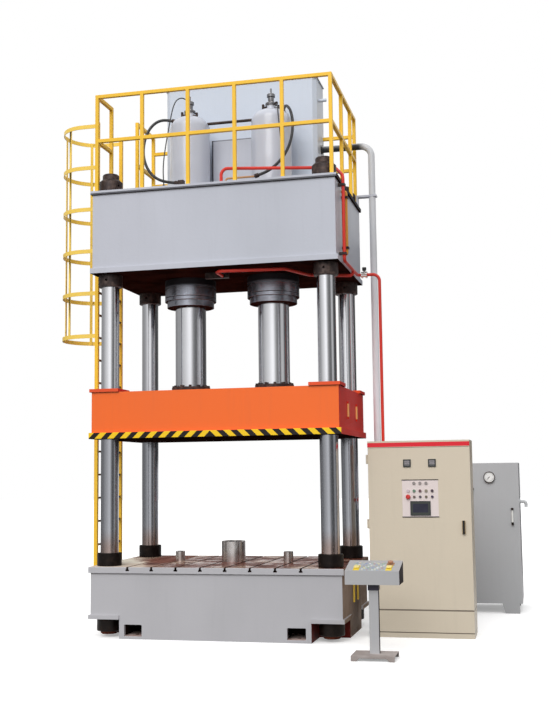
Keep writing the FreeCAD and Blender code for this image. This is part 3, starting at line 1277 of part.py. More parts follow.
def make_handle():
    """A hanging swing handle on a pivot through the door."""
    x = CABINET_LEFT + HANDLE_X
    pivot = HANDLE_TOP - HANDLE_WIDTH / 2
    half = HANDLE_WIDTH / 2
    front = DOOR_FRONT - SEAT_GAP
    face = front - HANDLE_RISE
    end = HANDLE_TOP - HANDLE_LENGTH
    grip = box(x - half, x + half, face, front - HANDLE_RISE / 2, end, HANDLE_TOP)
    boss = box(x - half, x + half, face, front, HANDLE_TOP - HANDLE_WIDTH, HANDLE_TOP)
    toe = box(x - half, x + half, face, front, end, end + HANDLE_WIDTH / 2)
    shaft = rod(HANDLE_PIVOT_RADIUS, V(x, front, pivot), V(x, DOOR_FRONT + DOOR_SHEET + 2, pivot))
    return joined([grip, boss, toe, shaft])


def make_switchgear():
    """Mounting plate on stand-offs at the back of the cabinet, with breakers, contactors and a drive."""
    x0, x1 = CABINET_LEFT + GEAR_INSET, CABINET_RIGHT - GEAR_INSET
    back = CABINET_FRONT + CABINET_DEPTH - CABINET_WALL
    face = back - GEAR_STANDOFF
    z0, z1 = KICK_TOP + GEAR_INSET, DOOR_TOP - GEAR_INSET
    high, wide = z1 - z0, x1 - x0
    pieces = [box(x0, x1, face, face + GEAR_PLATE, z0, z1)]
    for x in (x0 + GEAR_STANDOFF, x1 - GEAR_STANDOFF):
        for z in (z0 + GEAR_STANDOFF, z1 - GEAR_STANDOFF):
            pieces.append(rod(GEAR_POST_RADIUS, V(x, face, z), V(x, back, z)))
    for low, top, depth, count in GEAR_ROWS:
        pitch = (wide - 2 * GEAR_STANDOFF) / count
        for i in range(count):
            x = x0 + GEAR_STANDOFF + i * pitch
            pieces.append(box(x, x + pitch * GEAR_FILL, face - depth, face, z0 + high * low, z0 + high * top))
    left, right = (x0 + wide * share for share in DRIVE_WIDTHS)
    low, top = (z0 + high * share for share in DRIVE_HEIGHTS)
    pieces.append(box(left, right, face - DRIVE_DEPTH, face, low, top))
    return joined(pieces)


# ---- Hydraulic power unit ----
def make_power_unit():
    x0, x1, y0, y1 = UNIT_LEFT, UNIT_RIGHT, UNIT_FRONT, UNIT_BACK
    w = UNIT_WALL
    shell = box(x0, x1, y0, y1, UNIT_BOTTOM, UNIT_TOP)
    shell = shell.cut(box(x0 + w, x1 - w, y0 + w, y1 + 1, UNIT_BOTTOM + w, UNIT_TOP - w))
    r = UNIT_BACK_LIP
    lip = box(x0, x1, y1 - w, y1, UNIT_BOTTOM, UNIT_TOP)
    lip = lip.cut(box(x0 + r, x1 - r, y1 - w - 1, y1 + 1, UNIT_BOTTOM + r, UNIT_TOP - r))
    pieces = [shell, lip]
    slant = LEG_TOP_WIDTH - LEG_BOTTOM_WIDTH
    for outer, side in ((x0 + LEG_INSET, 1), (x1 - LEG_INSET, -1)):
        leg = [(outer, UNIT_BOTTOM), (outer + side * LEG_TOP_WIDTH, UNIT_BOTTOM),
               (outer + side * (LEG_TOP_WIDTH - slant), 0), (outer, 0)]
        for y in (y0, y1 - LEG_DEPTH):
            pieces.append(across(leg, y, y + LEG_DEPTH))
    return joined(pieces)


def make_motor():
    """Electric motor on its feet, with the bell housing and the pump in line."""
    z = UNIT_BOTTOM + UNIT_WALL + MOTOR_HEIGHT
    y = UNIT_FRONT + UNIT_DEPTH / 2
    start = V(UNIT_LEFT + UNIT_WIDTH / 4, y, z)
    end = start + RIGHT * MOTOR_LENGTH
    pump_end = end + RIGHT * PUMP_LENGTH
    pieces = [rod(MOTOR_RADIUS, start, end), rod(PUMP_RADIUS, end, pump_end)]
    for x in (start.x + MOTOR_FEET, end.x - 2 * MOTOR_FEET):
        pieces.append(box(x, x + MOTOR_FEET, y - MOTOR_RADIUS, y + MOTOR_RADIUS, UNIT_BOTTOM + UNIT_WALL, z))
    left = start.x + MOTOR_LENGTH / 3
    half = MOTOR_FEET * 2
    top = z + MOTOR_RADIUS + MOTOR_FEET
    pieces.append(box(left, left + MOTOR_LENGTH / 3, y - half, y + half, z + MOTOR_RADIUS / 2, top))
    return joined(pieces)


def make_unit_fittings():
    """Pressure gauge case, door latch, level tube and the filler spout on the right side."""
    y = UNIT_FRONT
    x = UNIT_LEFT + GAUGE_X
    front = y - GAUGE_DEPTH
    gauge = rod(GAUGE_RADIUS, V(x, front, GAUGE_Z), V(x, y, GAUGE_Z))
    gauge = gauge.cut(rod(GAUGE_RADIUS - GAUGE_RIM, V(x, front, GAUGE_Z), V(x, front + GAUGE_DIAL_DEPTH, GAUGE_Z)))
    spindle = rod(SPINDLE_RADIUS, V(x, front + NEEDLE_SHEET, GAUGE_Z), V(x, y, GAUGE_Z))
    gauge = joined([gauge, spindle])
    x = UNIT_LEFT + LATCH_X
    half = LATCH_WIDTH / 2
    latch = joined([rod(LATCH_RADIUS, V(x, y - LATCH_RISE, LATCH_Z), V(x, y, LATCH_Z)),
                    box(x - half, x + half, y - LATCH_RISE, y - half, LATCH_Z - LATCH_LENGTH, LATCH_Z)])
    x = UNIT_LEFT + LEVEL_X
    half = LEVEL_BLOCK / 2
    stand = y - half - LEVEL_GAP
    level = [rod(LEVEL_RADIUS, V(x, stand, LEVEL_BOTTOM), V(x, stand, LEVEL_BOTTOM + LEVEL_HEIGHT))]
    for z in (LEVEL_BOTTOM, LEVEL_BOTTOM + LEVEL_HEIGHT - LEVEL_BLOCK):
        level.append(box(x - half, x + half, stand - half, y, z, z + LEVEL_BLOCK))
    side = V(UNIT_RIGHT, y + LEG_DEPTH / 2, SPOUT_Z)
    tip = side + RIGHT * SPOUT_REACH
    spout = pipe([side, tip, tip - UP * SPOUT_DROP], 2 * SPOUT_RADIUS, SPOUT_BEND)
    collar = rod(SPOUT_RADIUS + SPOUT_COLLAR, side, side + RIGHT * SPOUT_COLLAR)
    return group([gauge, latch, joined(level), joined([spout, collar])])


def make_needle():
    """The gauge's pointer: a hub on the spindle and a tapered blade."""
    at = V(UNIT_LEFT + GAUGE_X, UNIT_FRONT - GAUGE_DEPTH + NEEDLE_SHEET, GAUGE_Z)
    back = at + BACK * NEEDLE_SHEET
    bore = SPINDLE_RADIUS + RUNNING_GAP
    heading = V(-math.sin(NEEDLE_REST), 0, -math.cos(NEEDLE_REST))
    wide = V(math.cos(NEEDLE_REST), 0, -math.sin(NEEDLE_REST)) * NEEDLE_SHEET
    root = at + heading * SPINDLE_RADIUS
    blade = outline([root + wide, root - wide, at + heading * NEEDLE_LENGTH]).extrude(BACK * NEEDLE_SHEET)
    return joined([ring(2 * bore, bore, at, back), blade.cut(rod(bore, at, back))])


# ---- Operator desk ----
def make_desk_stand():
    x, y = DESK_X, DESK_Y
    half_x = DESK_FOOT_LENGTH / 2
    half_y = DESK_FOOT_DEPTH / 2
    h = DESK_FOOT_HEIGHT
    a = DESK_FOOT_ARCH
    w = DESK_FOOT_WALL
    toe = half_x / 4
    profile = [(x - half_x, 0), (x - half_x + toe, 0), (x - half_x + toe + a, a), (x + half_x - toe - a, a),
               (x + half_x - toe, 0), (x + half_x, 0), (x + half_x, h), (x - half_x, h)]
    front = y + DESK_FOOT_SHIFT - half_y
    back = front + DESK_FOOT_DEPTH
    foot = across(profile, front, back)
    foot = foot.cut(box(x - half_x - 1, x + half_x + 1, front + w, back - w, -1, h - w))
    post = box(x - DESK_POST_WIDTH / 2, x + DESK_POST_WIDTH / 2, y - DESK_POST_DEPTH / 2, y + DESK_POST_DEPTH / 2,
               h - w, DESK_BASE)
    hollow = box(x - DESK_POST_WIDTH / 2 + w, x + DESK_POST_WIDTH / 2 - w, y - DESK_POST_DEPTH / 2 + w,
                 y + DESK_POST_DEPTH / 2 - w, h, DESK_BASE + 1)
    m = DESK_COLLAR_MARGIN
    collar = box(x - DESK_POST_WIDTH / 2 - m, x + DESK_POST_WIDTH / 2 + m, y - DESK_POST_DEPTH / 2 - m,
                 y + DESK_POST_DEPTH / 2 + m, DESK_BASE - DESK_COLLAR_HEIGHT, DESK_BASE)
    return joined([foot, post, collar]).cut(hollow)


def desk_point(across_x, up_slope, rise):
    """A point over the desk's sloping face: offset in X, distance up the slope, height off the face."""
    cos, sin = math.cos(DESK_SLOPE), math.sin(DESK_SLOPE)
    return V(DESK_X + across_x, DESK_FRONT + up_slope * cos - rise * sin,
             DESK_BASE + DESK_FRONT_HEIGHT + up_slope * sin + rise * cos)


def desk_rod(radius, across_x, up_slope, low, high):
    return rod(radius, desk_point(across_x, up_slope, low), desk_point(across_x, up_slope, high))


def desk_section(wall):
    """The desk's side view, moved inwards by a wall."""
    y0, y1 = DESK_FRONT + wall, DESK_BACK - wall
    z0 = DESK_BASE + wall
    rise = wall / math.cos(DESK_SLOPE)
    front = DESK_BASE + DESK_FRONT_HEIGHT + wall * math.tan(DESK_SLOPE) - rise
    back = DESK_BASE + DESK_BACK_HEIGHT - wall * math.tan(DESK_SLOPE) - rise
    return [(y0, z0), (y1, z0), (y1, back), (y0, front)]


def make_desk_box():
    half = DESK_LENGTH / 2
    w = DESK_WALL
    case = along(desk_section(0), DESK_X - half, DESK_X + half)
    case = case.cut(along(desk_section(w), DESK_X - half + w, DESK_X + half - w))
    holes = []
    side = PALM_SPREAD / 2
    for x, up in ((-side, DESK_ROW_LOW), (side, DESK_ROW_LOW), (side, DESK_ROW_HIGH)):
        holes.append(desk_rod(BUTTON_STEM_RADIUS + SEAT_GAP, x, up, -w - 1, 1))
    holes.append(rod(DESK_POST_DEPTH / 4, V(DESK_X, DESK_Y, DESK_BASE - 1), V(DESK_X, DESK_Y, DESK_BASE + w + 1)))
    case = case.cut(holes)
    lamps = []
    for row in (DESK_ROW_LOW, DESK_ROW_HIGH):
        for i in range(DESK_LAMP_COUNT):
            x = (i - (DESK_LAMP_COUNT - 1) / 2) * DESK_LAMP_PITCH
            lamps.append(desk_rod(DESK_LAMP_RADIUS, x, row, -w / 2, DESK_LAMP_RISE))
    return joined([case, *lamps])


def make_palm_button(side):
    """A square palm button on a round stem through the desk's face."""
    half = PALM_SIZE / 2
    x = side * PALM_SPREAD / 2
    lift = PALM_RISE / 2
    row = DESK_ROW_LOW
    sides = ((-half, -half), (half, -half), (half, half), (-half, half))
    corners = [desk_point(x + dx, row + dy, lift) for dx, dy in sides]
    cap = outline(corners).extrude(desk_point(x, row, PALM_RISE) - desk_point(x, row, lift))
    return joined([cap, desk_rod(BUTTON_STEM_RADIUS, x, row, -2 * DESK_WALL, lift)])


def make_desk_stop():
    x = PALM_SPREAD / 2
    return joined([desk_rod(BUTTON_STEM_RADIUS, x, DESK_ROW_HIGH, -2 * DESK_WALL, STOP_RISE / 2),
                   desk_rod(STOP_RADIUS, x, DESK_ROW_HIGH, STOP_RISE / 2, STOP_RISE)])


# ---- Build every node ----
save("bed_frame", make_bed())
save("table_plate", make_table())
save("columns", group([make_column(x, y) for x, y in COLUMNS]))
nuts = []
for x, y in COLUMNS:
    nuts.append(make_nut(x, y, POCKET_HEIGHT - NUT_HEIGHT, NUT_HEIGHT, NUT_CHAMFER, ()))
    nuts.append(make_nut(x, y, TABLE_TOP, NUT_HEIGHT, NUT_CHAMFER, ()))
    nuts.append(make_nut(x, y, CROWN_BOTTOM - NUT_HEIGHT, NUT_HEIGHT, NUT_CHAMFER, (0,)))
save("column_nuts", group(nuts))
tommy = (-TOMMY_ANGLE, TOMMY_ANGLE)
lock_nuts = [make_nut(x, y, CROWN_TOP, LOCK_NUT_HEIGHT, LOCK_NUT_CHAMFER, tommy) for x, y in COLUMNS]
save("crown_lock_nuts", group(lock_nuts))
save("crown", make_crown())
save("main_cylinders", group([make_cylinder(x, y) for x, y in CYLINDERS]))
save("cylinder_glands", group([make_gland(x, y) for x, y in CYLINDERS]))
save("cylinder_nuts", group([make_cylinder_nut(x, y) for x, y in CYLINDERS]))
pilots = (LEFT_PILOT_ROUTE, RIGHT_PILOT_ROUTE)
valves = [make_prefill_valve(x, y, route[0], route[1]) for (x, y), route in zip(CYLINDERS, pilots)]
save("prefill_valves", group(valves))
save("rams", group([make_ram(x, y) for x, y in CYLINDERS]))
save("ram_flanges", group([half for x, y in CYLINDERS for half in make_ram_flange(x, y)]))
save("slide_beam", make_slide())
save("slide_plate", make_slide_plate())
save("guide_bushes", group([make_bush(x, y) for x, y in COLUMNS]))
centre = make_ejector(0, EJECTOR_DIAMETER, EJECTOR_RISE, EJECTOR_FOOT, EJECTOR_RECESS, EJECTOR_RECESS_DEPTH)
save("centre_ejector", centre)
for name, x in (("left_ejector", -SIDE_EJECTOR_X), ("right_ejector", SIDE_EJECTOR_X)):
    save(name, make_ejector(x, SIDE_EJECTOR_DIAMETER, SIDE_EJECTOR_RISE, SIDE_EJECTOR_FOOT, 0, 0))
save("ejector_cylinders", group([
    make_ejector_cylinder(0, EJECTOR_DIAMETER, EJECTOR_CYLINDER_WALL, EJECTOR_CYLINDER_CLEARANCE),
    make_ejector_cylinder(-SIDE_EJECTOR_X, SIDE_EJECTOR_DIAMETER, SIDE_CYLINDER_WALL, SIDE_CYLINDER_CLEARANCE),
    make_ejector_cylinder(SIDE_EJECTOR_X, SIDE_EJECTOR_DIAMETER, SIDE_CYLINDER_WALL, SIDE_CYLINDER_CLEARANCE),
]))
save("overhead_tank", make_tank())
save("tank_lid", make_tank_lid())
save("manifold_box", make_manifold())
save("cross_pipe", make_cross_pipe())
save("front_railing", make_front_railing())
save("left_railing", make_left_railing())
save("right_railing", make_right_railing())
save("ladder", make_ladder())
save("ladder_cage", make_cage())
save("return_pipe", make_return_pipe())
save("crown_pipe", make_crown_pipe())
save("cylinder_pipe", make_cylinder_pipe())
save("supply_pipe", make_supply_pipe())
save("drain_pipe", make_drain_pipe())
save("pipe_clamps", make_clamps())
save("shutoff_valve", make_shutoff_valve())
save("valve_knob", make_valve_knob())
save("left_fill_hose", hose("left_fill_hose", LEFT_FILL_ROUTE, FILL_HOSE_DIAMETER))
save("right_fill_hose", hose("right_fill_hose", RIGHT_FILL_ROUTE, FILL_HOSE_DIAMETER))
save("left_pilot_hose", hose("left_pilot_hose", LEFT_PILOT_ROUTE, PILOT_HOSE_DIAMETER))
save("right_pilot_hose", hose("right_pilot_hose", RIGHT_PILOT_ROUTE, PILOT_HOSE_DIAMETER))
save("hose_fittings", make_hose_fittings())
save("cabinet_body", make_cabinet())
save("cabinet_door", make_door())
save("door_handle", make_handle())
save("switchgear", make_switchgear())
save("control_panel", make_panel())
save("emergency_stop", make_stop(*stop_place()))
for number, (x, z) in enumerate(button_places(), 1):
    save(f"panel_button_{number}", make_button(x, z))
save("power_unit", make_power_unit())
save("pump_motor", make_motor())
save("unit_fittings", make_unit_fittings())
save("gauge_needle", make_needle())
save("desk_stand", make_desk_stand())
save("desk_box", make_desk_box())
save("left_palm_button", make_palm_button(-1))
save("right_palm_button", make_palm_button(1))
save("desk_stop", make_desk_stop())
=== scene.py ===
import json
import math

import bmesh
import bpy
from mathutils import Matrix, Vector

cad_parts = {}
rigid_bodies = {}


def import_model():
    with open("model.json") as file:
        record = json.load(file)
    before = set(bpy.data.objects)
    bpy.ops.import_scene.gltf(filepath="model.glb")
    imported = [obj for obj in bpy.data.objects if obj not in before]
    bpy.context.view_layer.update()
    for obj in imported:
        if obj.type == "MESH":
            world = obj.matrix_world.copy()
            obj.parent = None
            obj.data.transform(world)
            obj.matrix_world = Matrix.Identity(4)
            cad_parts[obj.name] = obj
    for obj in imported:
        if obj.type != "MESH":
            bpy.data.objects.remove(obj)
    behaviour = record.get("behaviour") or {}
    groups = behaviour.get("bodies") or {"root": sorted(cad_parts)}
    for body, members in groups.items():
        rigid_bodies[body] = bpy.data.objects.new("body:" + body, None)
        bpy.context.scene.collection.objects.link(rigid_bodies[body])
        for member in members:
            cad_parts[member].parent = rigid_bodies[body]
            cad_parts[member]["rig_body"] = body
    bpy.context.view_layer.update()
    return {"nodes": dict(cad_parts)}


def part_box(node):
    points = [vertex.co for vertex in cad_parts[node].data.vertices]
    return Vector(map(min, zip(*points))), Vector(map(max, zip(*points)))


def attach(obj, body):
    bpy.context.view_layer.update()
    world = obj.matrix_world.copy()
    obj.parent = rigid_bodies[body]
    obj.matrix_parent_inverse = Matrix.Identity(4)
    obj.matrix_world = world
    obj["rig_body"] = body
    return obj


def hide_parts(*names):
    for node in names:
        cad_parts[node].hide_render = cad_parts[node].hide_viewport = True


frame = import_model()

# ---- Camera ----
# The photograph was taken at eye height from the right of the press, with a normal lens. Place, turns and
# lens were fitted so that the edges of bed, slide and crown and the columns fall on the photographed ones.
EYE = Vector((3.190, -11.222, 1.650))
TURN = -0.2362
TILT = 0.1039
ROLL = -0.0125
FOCAL_PIXELS = 1066.2
LONG_SIDE_PIXELS = 727
SENSOR = 36.0
FARTHEST = 200

ahead = Vector((math.sin(TURN) * math.cos(TILT), math.cos(TURN) * math.cos(TILT), math.sin(TILT)))
level = Vector((math.cos(TURN), -math.sin(TURN), 0))
upright = level.cross(ahead)
right = level * math.cos(ROLL) + upright * math.sin(ROLL)
top = upright * math.cos(ROLL) - level * math.sin(ROLL)
camera = bpy.data.objects.new("camera", bpy.data.cameras.new("camera"))
camera.data.sensor_width = SENSOR
camera.data.lens = FOCAL_PIXELS / LONG_SIDE_PIXELS * SENSOR
camera.data.clip_end = FARTHEST
camera.matrix_world = Matrix.Translation(EYE) @ Matrix((right, top, -ahead)).transposed().to_4x4()
bpy.context.scene.collection.objects.link(camera)
bpy.context.scene.camera = camera


# ---- Hoses on the crown ----
# Two thick black filling hoses and two thin pilot hoses of smooth rubber. Each hangs in a free
# loop between its crimped fittings, so it is one smooth curve.
class Field:
    """A value that varies over a surface. Arithmetic on it adds the shader's Math nodes."""

    def __init__(self, tree, socket):
        self.tree = tree
        self.socket = socket

    def node(self, kind, values, out=0, stops=None, **settings):
        """Any other node: its type, its inputs' values or links, its settings, and the output to read."""
        made = self.tree.nodes.new("ShaderNode" + kind)
        for key, value in settings.items():
            setattr(made, key, value)
        if stops:
            ramp = made.color_ramp
            ramp.elements[0].position, ramp.elements[0].color = stops[0][0], (*stops[0][1], 1)
            ramp.elements[-1].position, ramp.elements[-1].color = stops[-1][0], (*stops[-1][1], 1)
            for at, shade in stops[1:-1]:
                ramp.elements.new(at).color = (*shade, 1)
        for key, value in values.items():
            if isinstance(value, Field):
                self.tree.links.new(value.socket, made.inputs[key])
            else:
                made.inputs[key].default_value = value
        return Field(self.tree, made.outputs[out])

    def math(self, operation, first, second=0.0):
        return self.node("Math", {0: first, 1: second}, operation=operation)

    def __add__(self, other):
        return self.math("ADD", self, other)

    __radd__ = __add__

    def __sub__(self, other):
        return self.math("SUBTRACT", self, other)

    def __rsub__(self, other):
        return self.math("SUBTRACT", other, self)

    def __mul__(self, other):
        return self.math("MULTIPLY", self, other)

    __rmul__ = __mul__

    def __truediv__(self, other):
        return self.math("DIVIDE", self, other)

    def __abs__(self):
        return self.math("ABSOLUTE", self)

    def capped(self):
        """No more than 1."""
        return self.math("MINIMUM", self, 1.0)

    def root(self):
        return self.math("SQRT", self)

    def axis(self, name):
        """One of X, Y and Z."""
        return self.node("SeparateXYZ", {0: self}, out=name)

    def above(self, low, high):
        """0 below low, 1 above high, and smooth between them."""
        return self.node("MapRange", {0: self, 1: low, 2: high}, interpolation_type="SMOOTHSTEP")

    def between(self, low, high, soft=0.001):
        """1 between two values and 0 outside them."""
        return self.above(low - soft, low + soft) - self.above(high - soft, high + soft)

    def clouds(self, size, detail=3.0, stretch=(1, 1, 1)):
        """Soft noise with patches of about that size, in metres."""
        place = self.node("Mapping", {0: self, 3: stretch})
        return self.node("TexNoise", {"Vector": place, "Scale": 1 / size, "Detail": detail})

    def shade(self, first, second):
        """A colour between two, by this value."""
        return self.node("Mix", {0: self, 6: first, 7: second}, out=2, data_type="RGBA")


def tint(red, green, blue):
    """A colour as it is seen, in 0 to 255, as the shader's linear colour."""
    seen = [channel / 255 for channel in (red, green, blue)]
    return (*[c / 12.92 if c < 0.04045 else ((c + 0.055) / 1.055) ** 2.4 for c in seen], 1)


def finish(name, make):
    """A material whose make(place) gives the shader's channels for a place on the object.

    Where the surface is uneven, they include its height and the relief in metres that a height of 1 has.
    """
    material = bpy.data.materials.new(name)
    material.use_nodes = True
    tree = material.node_tree
    tree.nodes.clear()
    place = Field(tree, tree.nodes.new("ShaderNodeTexCoord").outputs["Object"])
    channels = make(place)
    if "height" in channels:
        height, relief = channels.pop("height"), channels.pop("relief")
        channels["Normal"] = place.node("Bump", {"Strength": 1.0, "Distance": relief, "Height": height})
    shader = place.node("BsdfPrincipled", channels)
    output = tree.nodes.new("ShaderNodeOutputMaterial")
    tree.links.new(shader.socket, output.inputs["Surface"])
    return material


def rubber(place):
    scuff = place.clouds(0.06)
    return {
        "Base Color": scuff.above(0.45, 0.75).shade(tint(30, 30, 33), tint(58, 57, 58)),
        "Roughness": scuff * 0.2 + 0.36,
        "height": place.clouds(0.004),
        "relief": 0.0002,
    }


hose_rubber = finish("hose_rubber", rubber)
HOSES = {
    "left_fill_hose": (0.032, 1.311, [
        (-0.686, -0.008, 5.676), (-0.750, -0.018, 5.691), (-0.825, -0.040, 5.682), (-0.890, -0.068, 5.636),
        (-0.943, -0.102, 5.548), (-0.972, -0.142, 5.420), (-0.970, -0.188, 5.270), (-0.925, -0.240, 5.125),
        (-0.848, -0.288, 5.000), (-0.745, -0.326, 4.912), (-0.632, -0.352, 4.866), (-0.528, -0.368, 4.846)]),
    "right_fill_hose": (0.032, 1.404, [
        (0.548, 0.300, 5.780), (0.580, 0.205, 5.800), (0.633, 0.105, 5.775), (0.694, 0.012, 5.685),
        (0.734, -0.060, 5.545), (0.742, -0.120, 5.375), (0.716, -0.190, 5.200), (0.660, -0.272, 5.055),
        (0.580, -0.330, 4.950), (0.500, -0.374, 4.882), (0.425, -0.398, 4.852)]),
    "left_pilot_hose": (0.013, 1.236, [
        (-0.492, -0.004, 5.888), (-0.530, -0.022, 5.922), (-0.577, -0.052, 5.922), (-0.614, -0.088, 5.880),
        (-0.634, -0.130, 5.790), (-0.645, -0.180, 5.650), (-0.657, -0.225, 5.490), (-0.675, -0.258, 5.320),
        (-0.692, -0.280, 5.150), (-0.697, -0.293, 4.990), (-0.683, -0.302, 4.850)]),
    "right_pilot_hose": (0.013, 0.997, [
        (0.562, -0.092, 5.738), (0.588, -0.165, 5.676), (0.604, -0.215, 5.575), (0.622, -0.242, 5.445),
        (0.638, -0.245, 5.285), (0.650, -0.236, 5.110), (0.660, -0.238, 4.940), (0.668, -0.244, 4.795)]),
}
for node, (diameter, length, points) in HOSES.items():
    curve = bpy.data.curves.new(node, "CURVE")
    curve.dimensions = "3D"
    curve.bevel_depth = diameter / 2
    curve.bevel_resolution = 5
    curve.resolution_u = 10
    curve.use_fill_caps = True
    spline = curve.splines.new("NURBS")
    spline.points.add(len(points) - 1)
    for control, point in zip(spline.points, points):
        control.co = (*point, 1)
    spline.order_u = 3
    spline.use_endpoint_u = True
    hose = bpy.data.objects.new("rubber_" + node, curve)
    hose.data.materials.append(hose_rubber)
    bpy.context.scene.collection.objects.link(hose)
    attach(hose, "frame")
    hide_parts(node)


# ---- Bed ----
# A deep box welded from thick plate on a cross-shaped foot, sprayed with grey machine enamel. Its sides
# are painted darker as shade, its undersides and the walls inside its windows near black as shade, the
# pockets round the column feet still show red primer, and two yellow flat bars are welded to the side that
# faces the cabinet.
nodes = frame["nodes"]
SAME_PLACE = 0.00002
SAME_PLANE = math.radians(0.4)
CREASE = math.radians(32)


def dress(node, materials, edge=0.003, pick=None, flat=True):
    """A copy of a CAD node with merged corners, small rounded edges and smooth round faces, in its place.

    pick chooses one of the materials for a face, from its middle and its normal.
    """
    shape = bmesh.new()
    shape.from_mesh(nodes[node].data)
    bmesh.ops.remove_doubles(shape, verts=shape.verts, dist=SAME_PLACE)
    if flat:
        bmesh.ops.dissolve_limit(shape, angle_limit=SAME_PLANE, verts=shape.verts, edges=shape.edges)
    for face in shape.faces:
        face.smooth = True
        if pick:
            face.material_index = materials.index(pick(face.calc_center_median(), face.normal))
    mesh = bpy.data.meshes.new("dressed_" + node)
    shape.to_mesh(mesh)
    shape.free()
    mesh.set_sharp_from_angle(angle=CREASE)
    for material in materials:
        mesh.materials.append(material)
    piece = bpy.data.objects.new("dressed_" + node, mesh)
    bpy.context.scene.collection.objects.link(piece)
    if edge:
        rounding = piece.modifiers.new("edge", "BEVEL")
        rounding.width = edge
        rounding.segments = 2
        rounding.limit_method = "ANGLE"
        rounding.angle_limit = CREASE
        rounding.harden_normals = True
    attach(piece, nodes[node]["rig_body"])
    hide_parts(node)
    return piece


def facing_up(place):
    """How far the surface faces up: 1 on top, 0 on a wall, -1 underneath."""
    return place.node("NewGeometry", {}, out="Normal").axis("Z")


def enamel(colour, dust=0.10, drift=0.08, rough=0.40, coat=0.06):
    """Sprayed enamel: the colour drifts a little, dust lies on what faces up, and the skin is uneven.

    The colour is a tint, or a function that gives it for a place.
    """

    def make(place):
        tone = place.clouds(0.9, stretch=(1, 1, 0.6))
        runs = place.clouds(0.05, stretch=(1, 1, 0.08))
        specks = place.clouds(0.012, detail=1.0).above(0.68, 0.74)
        wanted = colour(place) if callable(colour) else colour
        darker = tone.above(0.35, 0.7) * drift + runs.above(0.5, 0.8) * 0.03
        layer = facing_up(place).above(0.7, 0.95) * dust * (tone + 0.4) + specks * 0.03
        return {
            "Base Color": layer.shade(darker.shade(wanted, (0.1, 0.1, 0.105, 1)), tint(150, 146, 140)),
            "Roughness": layer * 0.5 + tone * 0.12 + (rough - 0.06),
            "Specular IOR Level": 0.2,
            "Coat Weight": coat,
            "Coat Roughness": 0.25,
            "height": place.clouds(0.03, detail=2.0) + place.clouds(0.35) * 2.0,
            "relief": 0.0008,
        }

    return make


def grime_and_shade(colour, stain, size=0.25, shine=0.08):
    """Primer or bare plate under a film of oil and dust, darker in soft patches; the same make gives colours
    that are painted shade.
    """

    def make(place):
        patch = place.clouds(size, detail=5.0)
        return {
            "Base Color": patch.above(0.35, 0.7).shade(colour, stain),
            "Roughness": patch * 0.3 + 0.5,
            "Specular IOR Level": shine,
            "height": place.clouds(0.02, detail=4.0),
            "relief": 0.0008,
        }

    return make


NEAR = 0.001
FACING = 0.9
PLATE_LIP = 0.020
FOOT_X, FOOT_Y, POCKET_TOP = 1.005, 0.355, 0.195
BARS_WITHIN_Y = 0.2
INSIDE_Y = 0.7
side_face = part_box("bed_frame")[1].x - PLATE_LIP
bed_grey = finish("bed_grey", enamel(tint(184, 183, 187)))
bar_yellow = finish("bar_yellow", enamel(tint(255, 214, 76), dust=0.05))
# Painted shade: the bed's sides, the table's ends and the ejector cylinders are made darker, in soft patches.
side_painted_shade = finish("bed_side_painted_shade", grime_and_shade(tint(152, 132, 118), tint(118, 98, 84)))
pocket_primer = finish("pocket_primer", grime_and_shade(tint(120, 42, 36), tint(62, 28, 25), size=0.12))
# Painted shade: undersides of bed, slide, crown, glands and collars, and the walls inside the bed's windows,
# are near black.
underside_painted_shade = finish("underside_painted_shade", grime_and_shade(tint(58, 40, 37), tint(36, 26, 25), shine=0.0))
window_floor = finish("window_floor", grime_and_shade(tint(206, 184, 178), tint(176, 146, 138), size=0.1))


def bed_finish(centre, normal):
    if centre.x > side_face + NEAR and abs(centre.y) < BARS_WITHIN_Y:
        return bar_yellow
    if centre.z < POCKET_TOP + NEAR and abs(abs(centre.x) - FOOT_X) < NEAR:
        return pocket_primer
    if centre.z < POCKET_TOP + NEAR and abs(abs(centre.y) - FOOT_Y) < NEAR:
        return pocket_primer
    # Inside the windows all but the floor is painted shade.
    if abs(centre.x) < FOOT_X - NEAR and abs(centre.y) < INSIDE_Y:
        return window_floor if normal.z > FACING else underside_painted_shade
    if abs(normal.x) > FACING and abs(centre.x) > side_face - NEAR:
        return side_painted_shade
    return underside_painted_shade if normal.z < -FACING else bed_grey


dress("bed_frame", [bed_grey, bar_yellow, side_painted_shade, pocket_primer, underside_painted_shade, window_floor],
      pick=bed_finish)
dress("ejector_cylinders", [side_painted_shade])


# ---- Table plate and ejectors ----
# A planed steel plate with tee slots, left bare and oiled, so it has a thin brown film and a shine. Its
# front and back edges are sprayed with the bed, its ends carry the bed sides' painted shade, its slots are
# painted dark as shade, and its bare left corner a pale painted sheen. The ejectors are turned bare steel.
DRY_SHEEN_EDGE, DRY_SHEEN_SLANT = (-0.92, -0.66), 0.54
PALE_DEPTH = (-0.50, -0.10)
SOAKED_LEFT, SOAKED_RIGHT, SOAKED_FRONT = (-1.06, -0.98), (-0.72, -0.55), (-0.40, -0.15)
SLOT_MOUTH, SLOT_LEFT = (-0.74, -0.60), (-0.75, -0.15)


